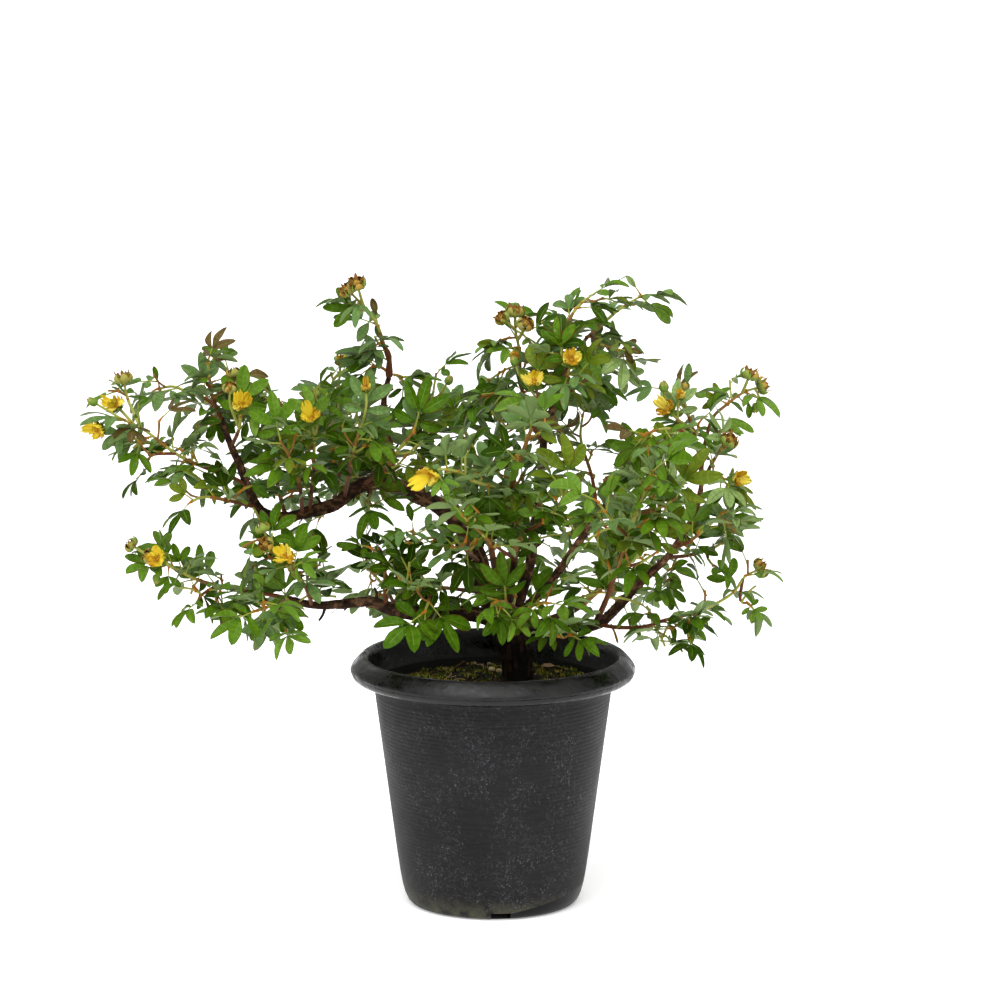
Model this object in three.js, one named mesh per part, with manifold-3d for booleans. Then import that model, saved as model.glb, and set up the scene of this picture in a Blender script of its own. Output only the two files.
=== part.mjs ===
// A shrubby cinquefoil in a round nursery pot. Millimetres, +Z up, origin at the middle of the pot's base.
import * as THREE from "three";
import { mergeVertices } from "three/addons/utils/BufferGeometryUtils.js";
import Module from "manifold-3d";

const wasm = await Module();
wasm.setup();

// Driving dimensions
const POT_HEIGHT = 136;
const RIM_RADIUS = 77;
const LEDGE_RADIUS = 64;
const FOOT_RADIUS = 42.5;
const WALL = 1.8;
const FLOOR = 5;
const ROUND_SIDES = 24;
const CHANNEL = { count: 4, width: 10.5, depth: 4, inner: 16, holeRadius: 3.2, holeAt: 30 };
const SOIL_BELOW_RIM = 19;
const SOIL_MOUND = 5;
const TRUNK_AT = [13, 8];
const CLEARANCE = 0.35;
const TWIG_RADIUS = 1.4;
const TWIG_TIP_RADIUS = 0.85;
const TWIG_STEP = 32;
const LEAFLET = { length: 14.6, width: 6.9, widest: 0.56, spread: 48, fold: 0.24 };
const PAIR = { length: 11.4, width: 5.6, spread: 86, back: 4 };
const PETIOLE = { length: 8.6, half: 0.5, thick: 0.35 };
const BLOOM = { radius: 7.6, cup: 38, thick: 1.5 };
const HEAD_RADIUS = 4;
const LEAF_TRIES = 9;

// Woody limbs: centre lines with the radius at the foot and at the end
const LIMBS = {
  trunk: { radii: [7.6, 9.5], route: [[13, 8, 97], [13, 8, 127], [11, 6, 140], [8, 4, 152]] },
  left_low: { radii: [4.8, 1.6], route: [
      [8, 4, 151], [-11, -4, 159], [-31, -10, 160], [-51, -12, 162], [-65, -12, 167], [-83, -8, 165],
      [-98, -4, 164], [-112, -4, 168],
  ] },
  left_up: { radii: [5.6, 1.6], route: [
      [8, 4, 151], [-4, 14, 166], [-8, 20, 184], [-16, 24, 200], [-29, 28, 212], [-42, 30, 218],
      [-57, 28, 225], [-72, 24, 224], [-85, 18, 215], [-99, 12, 212], [-111, 6, 210], [-124, 0, 214],
      [-131, -4, 227], [-135, -4, 239], [-141, -4, 253], [-145, -4, 265],
  ] },
  right_main: { radii: [3.4, 1.7], route: [
      [8, 4, 150], [23, -2, 150], [37, -8, 152], [55, -14, 155], [66, -18, 165], [76, -22, 177],
      [84, -24, 185], [92, -28, 194], [99, -34, 205],
  ] },
  right_up: { radii: [2.8, 1.5], route: [
      [9, 8, 151], [23, 14, 164], [34, 18, 176], [44, 20, 190], [51, 22, 200], [58, 24, 210],
      [69, 26, 220],
  ] },
  centre: { radii: [3.6, 1.4], route: [
      [8, 6, 151], [15, 2, 169], [20, -2, 187], [22, -4, 205], [25, -4, 227], [27, -4, 251],
      [32, -2, 272], [36, 0, 291],
  ] },
  spire: { radii: [2.2, 1.3], route: [
      [-56, 28, 225], [-55, 32, 239], [-59, 32, 256], [-59, 28, 271], [-56, 24, 284],
  ] },
  riser: { radii: [1.7, 1.2], route: [
      [99, -34, 205], [105, -28, 214], [109, -22, 222], [111, -18, 232], [111, -14, 244],
  ] },
};

// Leafy sprays: each stem leaves a limb, or an earlier stem of its spray by number, at a share of its
// length
const SPRAYS = {
  left_tip: [
    { on: "left_up", at: 0.81, route: [
        [-139, -8, 234], [-157, -14, 242], [-169, -18, 249], [-184, -24, 262], [-196, -28, 269],
    ], leaves: 3, seed: 50 },
    { on: 0, at: 1.0, route: [[-204, -33, 269], [-208, -36, 266]], leaves: 0, end: "bloom" },
    { on: 0, at: 0.9, route: [[-197, -20, 272], [-199, -20, 274]], leaves: 0, end: "bloom" },
    { on: 0, at: 0.84, route: [[-194, -14, 277], [-196, -14, 287]], leaves: 0, end: "head" },
    { on: 0, at: 0.6, route: [[-181, -24, 249], [-184, -26, 242]], leaves: 1, seed: 40 },
  ],
  left_second: [
    { on: "left_up", at: 0.94, route: [
        [-150, 4, 272], [-163, 10, 277], [-172, 14, 280], [-181, 16, 278],
    ], leaves: 3, seed: 64 },
  ],
  left_top: [
    { on: "left_up", at: 1.0, route: [
        [-149, -6, 275], [-151, -4, 286], [-152, -2, 296],
    ], leaves: 3, seed: 60 },
    { on: 0, at: 0.29, route: [[-145, 6, 280], [-142, 12, 289]], leaves: 1, seed: 69 },
  ],
  left_bloom: [
    { on: "left_up", at: 0.92, route: [
        [-135, -16, 262], [-133, -28, 275],
    ], leaves: 1, seed: 28, end: "bloom" },
    { on: 0, at: 0.51, route: [[-135, -12, 279], [-137, -10, 289]], leaves: 1, seed: 45, end: "head" },
    { on: 0, at: 0.51, route: [[-139, -24, 276], [-139, -28, 285]], leaves: 0, end: "head" },
  ],
  left_inner: [
    { on: "left_up", at: 0.67, route: [
        [-117, 24, 226], [-120, 32, 241], [-127, 30, 254], [-132, 26, 264],
    ], leaves: 3, seed: 36 },
    { on: 0, at: 0.5, route: [[-112, 22, 256], [-114, 16, 270], [-123, 12, 279]], leaves: 2, seed: 1 },
  ],
  left_yellow: [
    { on: "left_up", at: 0.6, route: [
        [-96, -8, 237], [-95, -20, 257], [-96, -26, 268],
    ], leaves: 2, seed: 29, end: "bloom" },
    { on: 0, at: 0.66, route: [[-92, -14, 271], [-95, -12, 278]], leaves: 1, seed: 22, end: "head" },
  ],
  left_tuft: [
    { on: "left_up", at: 0.54, route: [
        [-83, 36, 235], [-84, 44, 257], [-84, 44, 279],
    ], leaves: 3, seed: 7 },
  ],
  spire_tip: [
    { on: "spire", at: 1.0, route: [
        [-56, 20, 295], [-59, 16, 303], [-62, 12, 314], [-69, 8, 324], [-76, 6, 332],
    ], leaves: 3, seed: 78, end: "head" },
    { on: 0, at: 0.81, route: [[-71, 2, 332], [-72, 0, 336]], leaves: 0, end: "head" },
  ],
  centre_left: [
    { on: "left_up", at: 0.31, route: [
        [-39, 42, 229], [-38, 50, 245], [-34, 54, 263], [-31, 54, 281],
    ], leaves: 3, seed: 79 },
  ],
  centre_heads: [
    { on: "centre", at: 0.71, route: [
        [18, 8, 268], [15, 12, 284], [14, 12, 300], [12, 10, 311], [12, 10, 319],
    ], leaves: 3, seed: 67, end: "head" },
    { on: 0, at: 0.8, route: [[9, 4, 315], [6, 2, 318]], leaves: 0, end: "head" },
    { on: 0, at: 0.69, route: [[16, 4, 311], [17, 0, 315]], leaves: 0, end: "head" },
  ],
  centre_yellow: [
    { on: "centre", at: 0.79, route: [
        [25, -22, 277], [22, -34, 289],
    ], leaves: 2, seed: 77, end: "bloom" },
  ],
  top: [
    { on: "centre", at: 1.0, route: [
        [37, 6, 305], [42, 10, 319], [48, 12, 326], [52, 12, 329],
    ], leaves: 3, seed: 31 },
    { on: 0, at: 0.26, route: [[31, -4, 313], [26, -8, 318]], leaves: 1, seed: 1 },
  ],
  top_right: [
    { on: "centre", at: 0.94, route: [
        [44, 14, 296], [50, 20, 305], [57, 26, 310], [65, 30, 317], [73, 34, 322], [80, 36, 326],
    ], leaves: 3, seed: 13 },
    { on: 0, at: 0.4, route: [[57, 8, 304], [66, 2, 302]], leaves: 2, seed: 36 },
  ],
  right_shoulder: [
    { on: "centre", at: 0.86, route: [
        [44, 28, 277], [57, 40, 284], [68, 46, 288],
    ], leaves: 3, seed: 28 },
  ],
  orange_bloom: [
    { on: "centre", at: 0.9, route: [
        [39, -26, 291], [41, -36, 301],
    ], leaves: 1, seed: 49, end: "bloom" },
  ],
  right_up_tip: [
    { on: "right_up", at: 1.0, route: [[76, 18, 230], [79, 10, 240]], leaves: 4, seed: 36 },
  ],
  mid_right: [
    { on: "right_up", at: 0.8, route: [
        [54, 42, 225], [48, 54, 244], [49, 56, 258],
    ], leaves: 2, seed: 66 },
  ],
  riser_heads: [
    { on: "riser", at: 0.99, route: [
        [107, -10, 259], [103, -8, 272], [101, -8, 282],
    ], leaves: 2, seed: 87, end: "head" },
    { on: 0, at: 0.34, route: [[98, -22, 268], [93, -26, 273]], leaves: 1, seed: 73, end: "bloom" },
    { on: 0, at: 0.2, route: [[99, -40, 265], [88, -54, 268], [78, -62, 266]], leaves: 2, seed: 68 },
  ],
  right_heads: [
    { on: "riser", at: 0.91, route: [
        [114, 4, 252], [118, 8, 264], [125, 12, 270], [134, 16, 276], [143, 18, 279],
    ], leaves: 3, seed: 85, end: "head" },
    { on: 0, at: 0.8, route: [[136, 12, 282], [137, 12, 285]], leaves: 0, end: "head" },
  ],
  right_dry: [
    { on: "riser", at: 0.76, route: [
        [118, -30, 249], [124, -36, 258],
    ], leaves: 2, seed: 83, end: "head" },
    { on: 0, at: 0.24, route: [[121, -38, 239], [127, -44, 240]], leaves: 2, seed: 74, end: "bloom" },
  ],
  right_fan: [
    { on: "right_main", at: 0.95, route: [
        [104, -42, 206], [112, -48, 214], [121, -52, 223],
    ], leaves: 3, seed: 31 },
  ],
  right_out: [
    { on: "right_main", at: 0.88, route: [
        [105, -14, 193], [117, -6, 195], [126, -2, 199],
    ], leaves: 2, seed: 38 },
    { on: 0, at: 0.6, route: [[115, -14, 191], [118, -18, 188]], leaves: 1, seed: 13 },
  ],
  right_low: [
    { on: "right_main", at: 0.38, route: [
        [68, -26, 156], [81, -33, 158], [91, -36, 162], [105, -34, 165], [117, -30, 169],
        [128, -26, 175], [134, -24, 183], [141, -24, 187],
    ], leaves: 5, seed: 78, end: "head" },
    { on: 0, at: 0.86, route: [[132, -22, 170], [137, -20, 168]], leaves: 1, seed: 18 },
    { on: 0, at: 0.55, route: [[103, -44, 160], [104, -50, 155]], leaves: 1, seed: 76 },
  ],
  right_hang: [
    { on: "right_main", at: 0.25, route: [
        [39, -32, 156], [41, -46, 156],
    ], leaves: 1, seed: 45, size: 0.8 },
  ],
  right_front: [
    { on: "right_main", at: 0.37, route: [
        [60, -40, 174], [65, -64, 195], [70, -84, 217], [76, -96, 235], [82, -104, 255],
    ], leaves: 2, seed: 67, size: 1.15, radius: 2.0 },
    { on: 0, at: 0.6, route: [[61, -98, 228], [54, -106, 239]], leaves: 2, seed: 78 },
    { on: 0, at: 0.75, route: [[84, -98, 233], [95, -100, 240]], leaves: 2, seed: 11, size: 1.1 },
    { on: 0, at: 0.4, route: [[77, -80, 202], [86, -90, 210]], leaves: 2, seed: 11 },
  ],
  front: [
    { on: "trunk", at: 0.94, route: [
        [9, -20, 170], [11, -38, 190], [12, -52, 211], [11, -62, 229], [10, -68, 240], [15, -78, 258],
        [20, -82, 273],
    ], leaves: 2, seed: 77, radius: 2.4 },
    { on: 0, at: 0.7, route: [
        [-8, -84, 245], [-18, -92, 252], [-27, -96, 254], [-31, -98, 252],
    ], leaves: 2, seed: 5, end: "bloom" },
    { on: 0, at: 0.43, route: [
        [25, -72, 221], [34, -84, 233], [39, -90, 243],
    ], leaves: 2, seed: 64, size: 1.1 },
    { on: 0, at: 0.33, route: [
        [1, -64, 208], [-9, -78, 220], [-16, -84, 228],
    ], leaves: 2, seed: 79, size: 1.1 },
    { on: 0, at: 0.07, route: [
        [15, -28, 165], [23, -56, 175], [29, -74, 179],
    ], leaves: 2, seed: 67, radius: 1.8 },
    { on: 4, at: 0.34, route: [[6, -50, 175], [0, -66, 177]], leaves: 2, seed: 31 },
  ],
  low_twig: [
    { on: "left_up", at: 0.07, route: [
        [-17, -8, 173], [-28, -26, 178], [-41, -38, 182], [-50, -44, 187],
    ], leaves: 2, seed: 38 },
    { on: 0, at: 0.6, route: [[-34, -48, 175], [-36, -58, 171]], leaves: 2, seed: 78, size: 1.15 },
  ],
  low_mid: [
    { on: "left_low", at: 0.49, route: [
        [-58, -18, 177], [-58, -22, 190], [-65, -24, 199],
    ], leaves: 3, seed: 79, size: 0.85 },
  ],
  hang_left: [
    { on: "left_up", at: 0.44, route: [[-66, 4, 222], [-68, -10, 221]], leaves: 1, seed: 87 },
  ],
  hang_mid: [
    { on: "left_up", at: 0.2, route: [
        [-26, -6, 203], [-35, -22, 204], [-43, -30, 209],
    ], leaves: 2, seed: 27, size: 0.9 },
  ],
  inner_front: [
    { on: "left_up", at: 0.13, route: [
        [-12, -12, 193], [-16, -36, 201], [-22, -50, 204],
    ], leaves: 2, seed: 73, size: 1.15 },
  ],
  left_low_tip: [
    { on: "left_low", at: 1.0, route: [
        [-124, -8, 171], [-137, -14, 174], [-157, -22, 181], [-168, -28, 188], [-177, -32, 193],
        [-182, -34, 196],
    ], leaves: 4, seed: 87, end: "head" },
    { on: 0, at: 0.94, route: [[-188, -30, 199], [-191, -30, 201]], leaves: 0, end: "head" },
    { on: 0, at: 0.68, route: [[-173, -40, 194], [-176, -46, 197]], leaves: 0, end: "bloom" },
    { on: 0, at: 0.42, route: [[-155, -26, 174], [-158, -30, 170]], leaves: 1, seed: 40 },
  ],
  left_skirt: [
    { on: "left_low", at: 0.92, route: [
        [-109, -28, 169], [-117, -46, 172], [-125, -56, 171],
    ], leaves: 3, seed: 31, size: 1.1 },
    { on: 0, at: 0.6, route: [[-110, -52, 167], [-109, -58, 161]], leaves: 1, seed: 61 },
  ],
  left_skirt_back: [
    { on: "left_low", at: 0.97, route: [
        [-120, 18, 159], [-132, 34, 152], [-141, 42, 148],
    ], leaves: 2, seed: 77 },
  ],
  left_nodding: [
    { on: "left_low", at: 0.85, route: [
        [-100, -26, 178], [-104, -42, 189], [-109, -50, 198],
    ], leaves: 2, seed: 78, end: "bloom" },
    { on: 0, at: 0.52, route: [[-116, -46, 201], [-121, -44, 212]], leaves: 1, seed: 30, end: "head" },
  ],
  left_mid: [
    { on: "left_up", at: 0.75, route: [
        [-140, -22, 224], [-153, -32, 228], [-160, -38, 226],
    ], leaves: 2, seed: 73 },
  ],
  front_left: [
    { on: "left_up", at: 0.51, route: [
        [-76, -12, 240], [-72, -32, 259], [-68, -38, 271],
    ], leaves: 3, seed: 36 },
  ],
  front_mid: [
    { on: "left_up", at: 0.46, route: [
        [-58, -6, 238], [-49, -28, 254], [-41, -36, 264],
    ], leaves: 2, seed: 11, size: 1.1 },
  ],
  left_face: [
    { on: "left_up", at: 0.62, route: [
        [-103, -20, 233], [-107, -36, 249], [-112, -42, 260],
    ], leaves: 2, seed: 77 },
  ],
  back: [
    { on: "trunk", at: 0.89, route: [
        [5, 30, 162], [0, 52, 178], [-3, 70, 197], [-7, 84, 216], [-12, 92, 235], [-20, 98, 248],
    ], leaves: 3, seed: 28, radius: 2.4 },
    { on: 0, at: 0.67, route: [[4, 98, 230], [8, 104, 244]], leaves: 2, seed: 79 },
    { on: 0, at: 0.5, route: [[-16, 95, 198], [-27, 108, 201]], leaves: 2, seed: 49 },
    { on: 0, at: 0.33, route: [[15, 80, 179], [26, 104, 180]], leaves: 2, seed: 11 },
  ],
  right_back: [
    { on: "trunk", at: 0.85, route: [
        [31, 20, 151], [46, 32, 155], [59, 48, 163], [73, 64, 172], [87, 76, 184], [97, 88, 202],
    ], leaves: 3, seed: 63, radius: 2.4 },
    { on: 0, at: 0.67, route: [[68, 86, 187], [61, 100, 202]], leaves: 3, seed: 44 },
    { on: 0, at: 0.5, route: [[65, 80, 155], [75, 106, 149]], leaves: 2, seed: 6 },
  ],
  left_back: [
    { on: "left_up", at: 0.4, route: [
        [-67, 55, 227], [-82, 80, 231], [-95, 98, 238], [-106, 106, 247],
    ], leaves: 3, seed: 87, radius: 2.4 },
    { on: 0, at: 0.5, route: [[-78, 96, 245], [-74, 102, 256]], leaves: 2, seed: 7 },
    { on: 0, at: 0.25, route: [[-81, 85, 212], [-92, 106, 198]], leaves: 2, seed: 80 },
  ],
  low_back: [
    { on: "left_low", at: 0.43, route: [
        [-57, 24, 165], [-65, 56, 168], [-74, 86, 170],
    ], leaves: 3, seed: 77 },
  ],
};

const UP = new THREE.Vector3(0, 0, 1);
const TO_VIEWER = new THREE.Vector3(0, -1, 0.15);
const vec = (p) => new THREE.Vector3(...p);
const curveOf = (points) => new THREE.CatmullRomCurve3(points, false, "catmullrom", 0.5);

// A repeatable draw between 0 and 1
function draw(seed, k) {
  const wave = 43758.5453 * Math.sin(12.9898 * seed + 78.233 * k);
  return wave - Math.floor(wave);
}

// Solids in and out of the boolean library
function solidOf(geometry) {
  const bare = geometry.clone();
  bare.deleteAttribute("normal");
  bare.deleteAttribute("uv");
  const merged = mergeVertices(bare, 1e-4);
  return new wasm.Manifold(new wasm.Mesh({
    numProp: 3,
    vertProperties: new Float32Array(merged.attributes.position.array),
    triVerts: new Uint32Array(merged.index.array),
  }));
}

function geometryOf(solid) {
  const mesh = solid.getMesh();
  const geometry = new THREE.BufferGeometry();
  geometry.setAttribute("position", new THREE.BufferAttribute(new Float32Array(mesh.vertProperties), 3));
  geometry.setIndex(Array.from(mesh.triVerts));
  geometry.computeVertexNormals();
  return geometry;
}

function fuse(solids) {
  return solids.reduce((whole, next) => whole.add(next));
}

function largestBody(solid) {
  return solid.decompose().reduce((best, next) => (next.volume() > best.volume() ? next : best));
}

function facets(points, triangles) {
  const geometry = new THREE.BufferGeometry();
  geometry.setAttribute("position", new THREE.Float32BufferAttribute(points.flat(), 3));
  geometry.setIndex(triangles.flat());
  return geometry;
}

// The curve's own axes at t: along it, and two across it that don't twist
function axesAt(curve, t) {
  const chord = curve.getPoint(1).sub(curve.getPoint(0));
  const side = new THREE.Vector3().crossVectors(chord, UP).normalize();
  const [before, after] = [curve.getPoint(Math.max(t - 0.01, 0)), curve.getPoint(Math.min(t + 0.01, 1))];
  const along = after.sub(before).normalize();
  side.addScaledVector(along, -side.dot(along)).normalize();
  return { along, side, across: new THREE.Vector3().crossVectors(along, side) };
}

// A tapered round stem along a curve
function stemSolid(curve, steps, footRadius, tipRadius, sides) {
  const geometry = new THREE.CylinderGeometry(1, 1, 1, sides, steps);
  const place = geometry.attributes.position;
  for (let k = 0; k < place.count; k += 1) {
    const t = place.getY(k) + 0.5;
    const radius = footRadius + (tipRadius - footRadius) * t;
    const { side, across } = axesAt(curve, t);
    const point = curve.getPoint(t)
      .addScaledVector(side, -radius * place.getX(k))
      .addScaledVector(across, radius * place.getZ(k));
    place.setXYZ(k, point.x, point.y, point.z);
  }
  return solidOf(geometry);
}

// A limb grown by a clearance all round and at both ends, or by none
function limbSolid({ radii, route }, extra, sides) {
  const points = route.map(vec);
  const last = points.length - 1;
  const firstStep = points[0].clone().sub(points[1]).setLength(extra);
  const lastStep = points[last].clone().sub(points[last - 1]).setLength(extra);
  points[0].add(firstStep);
  points[last].add(lastStep);
  return stemSolid(curveOf(points), last, radii[0] + extra, radii[1] + extra, sides);
}

const woodWith = (extra) =>
  fuse(Object.entries(LIMBS).map(([name, limb]) => limbSolid(limb, extra, name === "trunk" ? 9 : 6)));

// Pot: a turned wall with a rolled rim, and drain channels under the floor
function turned(profile) {
  const outline = [...profile, profile[0]].map(([r, z]) => new THREE.Vector2(r, z));
  const geometry = new THREE.LatheGeometry(outline, ROUND_SIDES);
  geometry.rotateX(Math.PI / 2);
  return geometry;
}

function innerWall(z) {
  const slope = (LEDGE_RADIUS - 51.5) / (117 - 24);
  return 51.5 - WALL + slope * (z - 24);
}

function potSolid() {
  const top = POT_HEIGHT;
  const wall = solidOf(turned([
    [0, 0], [FOOT_RADIUS, 0], [46, 1.5], [48.8, 8], [51.5, 24],
    [LEDGE_RADIUS, top - 18], [LEDGE_RADIUS + 0.8, top - 15],
    [RIM_RADIUS - 2.6, top - 12.2], [RIM_RADIUS, top - 9.6], [RIM_RADIUS - 0.4, top - 6.6],
    [RIM_RADIUS - 3.4, top - 2.2], [RIM_RADIUS - 7, top], [RIM_RADIUS - 9, top - 0.8],
    [RIM_RADIUS - 10.8, top - 8], [innerWall(top - 18), top - 18],
    [innerWall(24), 24], [46.6, FLOOR + 2], [44.6, FLOOR], [0, FLOOR],
  ]));
  const cuts = [];
  for (let k = 0; k < CHANNEL.count; k += 1) {
    const turn = -Math.PI / 2 + (k * 2 * Math.PI) / CHANNEL.count + 0.09;
    const length = 60 - CHANNEL.inner;
    const groove = new THREE.BoxGeometry(length, CHANNEL.width, 2 * CHANNEL.depth);
    groove.translate(CHANNEL.inner + length / 2, 0, 0);
    const hole = new THREE.CylinderGeometry(CHANNEL.holeRadius, CHANNEL.holeRadius, 4 * FLOOR, 8);
    hole.rotateX(Math.PI / 2);
    hole.translate(CHANNEL.holeAt, 0, 0);
    cuts.push(solidOf(groove.rotateZ(turn)), solidOf(hole.rotateZ(turn)));
  }
  return wall.subtract(fuse(cuts));
}

// Soil: mounded at the trunk, with a plain hole for it and shallow seats for the pebbles
function soilTop(x, y) {
  const far = Math.hypot(x - TRUNK_AT[0], y - TRUNK_AT[1]) / innerWall(POT_HEIGHT - SOIL_BELOW_RIM);
  const lumps = 0.8 * Math.sin(0.21 * x + 1) * Math.cos(0.19 * y) + 0.5 * Math.sin(0.53 * x - 0.41 * y);
  return POT_HEIGHT - SOIL_BELOW_RIM + SOIL_MOUND * Math.max(0, 1 - far) + lumps;
}

const PEBBLES = {
  pebble_left: { at: [-0.8, 28], size: [2.0, 1.8, 1.7] },
  pebble_right: { at: [3.2, 26.6], size: [1.7, 1.5, 1.5] },
};

function pebbleSolid({ at: [x, y], size }, extra) {
  const geometry = new THREE.SphereGeometry(1, 6, 4);
  geometry.scale(...size.map((half) => half + extra));
  geometry.translate(x, y, soilTop(x, y) + 0.4 * size[2]);
  return solidOf(geometry);
}

function soilSolid() {
  const edge = POT_HEIGHT - SOIL_BELOW_RIM;
  const gap = 0.1 + CLEARANCE;
  const geometry = turned([
    [0, FLOOR + gap], [44, FLOOR + gap], [46.2, FLOOR + 2.3], [innerWall(24) - gap, 24],
    [innerWall(edge) - gap, edge], [innerWall(edge) * 0.66, edge], [innerWall(edge) * 0.33, edge],
    [0, edge],
  ]);
  const place = geometry.attributes.position;
  for (let k = 0; k < place.count; k += 1) {
    if (place.getZ(k) > edge - 0.01) place.setZ(k, soilTop(place.getX(k), place.getY(k)));
  }
  const seats = Object.values(PEBBLES).map((pebble) => pebbleSolid(pebble, gap));
  return solidOf(geometry).subtract(fuse([limbSolid(LIMBS.trunk, gap, 9), ...seats]));
}

// One compound leaf, flat on top and keeled below, with its stalk's foot at the origin and its rib along +X
function leafGeometry({ scale, droop, leaflets, bend }) {
  const hub = PETIOLE.length * scale;
  const backHub = hub - PAIR.back * scale;
  const full = leaflets === 5;
  const { half, thick } = PETIOLE;
  const points = [];
  const triangles = [];
  const add = (x, y, z) => points.push([x, y, z]) - 1;
  const across = (x, width) => ({ x, width });
  const topHub = add(hub, 0, thick);
  const lowHub = add(hub, 0, -thick);
  const topBack = full ? add(backHub, 0, thick) : topHub;
  const lowBack = full ? add(backHub, 0, -thick) : lowHub;
  const blades = full
    ? [[-1, PAIR], [-1, LEAFLET], [0, LEAFLET], [1, LEAFLET], [1, PAIR]]
    : [[-1, LEAFLET], [0, LEAFLET], [1, LEAFLET]];
  const stalkEnd = across((full ? backHub : hub) - 1.2, half);
  const behind = across(backHub + 1.5, half + 0.2);
  const notch = { x: hub + 1.5 * Math.cos(0.4), width: 1.5 * Math.sin(0.4) };
  const rightNotches = full ? [stalkEnd, behind, notch] : [stalkEnd, notch];
  const notches = [
    ...rightNotches.map(({ x, width }) => add(x, -width, 0)),
    ...[...rightNotches].reverse().map(({ x, width }) => add(x, width, 0)),
  ];
  blades.forEach(([hand, kind], k) => {
    const angle = THREE.MathUtils.degToRad(hand * kind.spread + bend * 6);
    const length = kind.length * scale * (hand === 0 ? 1.08 : 1);
    const width = kind.width * scale;
    const root = kind === PAIR ? backHub : hub;
    const rim = (along, side) => add(
      root + along * Math.cos(angle) - side * Math.sin(angle),
      along * Math.sin(angle) + side * Math.cos(angle),
      -Math.tan(droop) * along + LEAFLET.fold * Math.abs(side),
    );
    const [right, left] = [notches[k], notches[k + 1]];
    const [top, low] = kind === PAIR ? [topBack, lowBack] : [topHub, lowHub];
    const widest = LEAFLET.widest * length;
    const [r, tip, l] = [rim(widest, -width / 2), rim(length, 0), rim(widest, width / 2)];
    triangles.push([top, right, r], [top, r, l], [r, tip, l], [top, l, left]);
    triangles.push([low, r, right], [low, tip, r], [low, l, tip], [low, left, l]);
  });
  if (full) {
    triangles.push([topBack, notches[1], topHub], [topBack, topHub, notches[4]]);
    triangles.push([lowBack, lowHub, notches[1]], [lowBack, notches[4], lowHub]);
  }
  const [right, left] = [notches[0], notches[notches.length - 1]];
  const foot = [add(0, -half, thick / 2), add(0, half, thick / 2), add(0, 0, -thick)];
  triangles.push([foot[0], right, topBack], [foot[0], topBack, foot[1]], [foot[1], topBack, left]);
  triangles.push([foot[2], right, foot[0]], [foot[2], lowBack, right], [foot[2], left, lowBack]);
  triangles.push([foot[2], foot[1], left], [foot[0], foot[1], foot[2]]);
  return facets(points, triangles);
}

// Where leaf number k of a stem goes, and how it is turned. A leaf leaves the stem through one of its
// flat sides, and each try takes the next side round
function leafPlace(stem, k, attempt) {
  const seed = stem.seed + k;
  const last = k === stem.leaves - 1 && !stem.end;
  const t = last ? 0.985 : 0.22 + (0.74 * (k + 0.35 + 0.5 * draw(seed, 1))) / stem.leaves;
  const { along, side, across } = axesAt(stem.curve, t);
  const flat = 2 * k + stem.seed + attempt + 0.5;
  const turn = Math.PI / 2 + (flat * 2 * Math.PI) / stem.sides + 0.6 * (draw(seed, 9) - 0.5);
  const lean = THREE.MathUtils.degToRad((last ? 12 : 38) + 26 * draw(seed, 2) + 3 * attempt);
  const outward = side.clone().multiplyScalar(Math.cos(turn)).addScaledVector(across, Math.sin(turn));
  const rib = along.clone().multiplyScalar(Math.cos(lean)).addScaledVector(outward, Math.sin(lean));
  rib.normalize();
  const face = UP.clone().multiplyScalar(0.7).addScaledVector(outward, -0.25)
    .addScaledVector(TO_VIEWER, 0.5 * (draw(seed, 3) - 0.25))
    .addScaledVector(side, 0.6 * (draw(seed, 4) - 0.5));
  face.addScaledVector(rib, -face.dot(rib)).normalize();
  const left = new THREE.Vector3().crossVectors(face, rib);
  return {
    frame: new THREE.Matrix4().makeBasis(rib, left, face).setPosition(stem.curve.getPoint(t)),
    leaf: {
      scale: stem.size * (0.84 + 0.3 * draw(seed, 5)) * (1 - 0.04 * attempt),
      droop: THREE.MathUtils.degToRad(4 + 22 * draw(seed, 6)),
      leaflets: draw(seed, 7) < 0.5 ? 5 : 3,
      bend: draw(seed, 8) - 0.5,
    },
  };
}

// Ends of the stems, each made upright about the origin
function ring(count, radiusOf, zOf, phase) {
  return Array.from({ length: count }, (_, k) => {
    const angle = phase + (k * 2 * Math.PI) / count;
    return [radiusOf(k) * Math.cos(angle), radiusOf(k) * Math.sin(angle), zOf(k)];
  });
}

// A spent head: five sepals closed over an urn, with their points free
function headGeometry(seed) {
  const size = 0.85 + 0.3 * draw(seed, 1);
  const waist = ring(10, (k) => size * HEAD_RADIUS * (k % 2 ? 0.74 : 1), () => 2.6 * size, seed);
  const tips = ring(5, () => 2.9 * size, (k) => size * (5.6 + 1.4 * draw(seed, 2 + k)), seed);
  const points = [[0, 0, -1], [0, 0, 3.4 * size], ...waist, ...tips];
  const triangles = [];
  for (let k = 0; k < 10; k += 1) triangles.push([0, 2 + ((k + 1) % 10), 2 + k]);
  for (let k = 0; k < 5; k += 1) {
    const [before, middle, after] = [(2 * k + 9) % 10, 2 * k, 2 * k + 1].map((place) => 2 + place);
    const [tip, next] = [12 + k, 12 + ((k + 1) % 5)];
    triangles.push([before, middle, tip], [middle, after, tip], [tip, after, 1], [after, next, 1]);
  }
  return facets(points, triangles);
}

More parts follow.
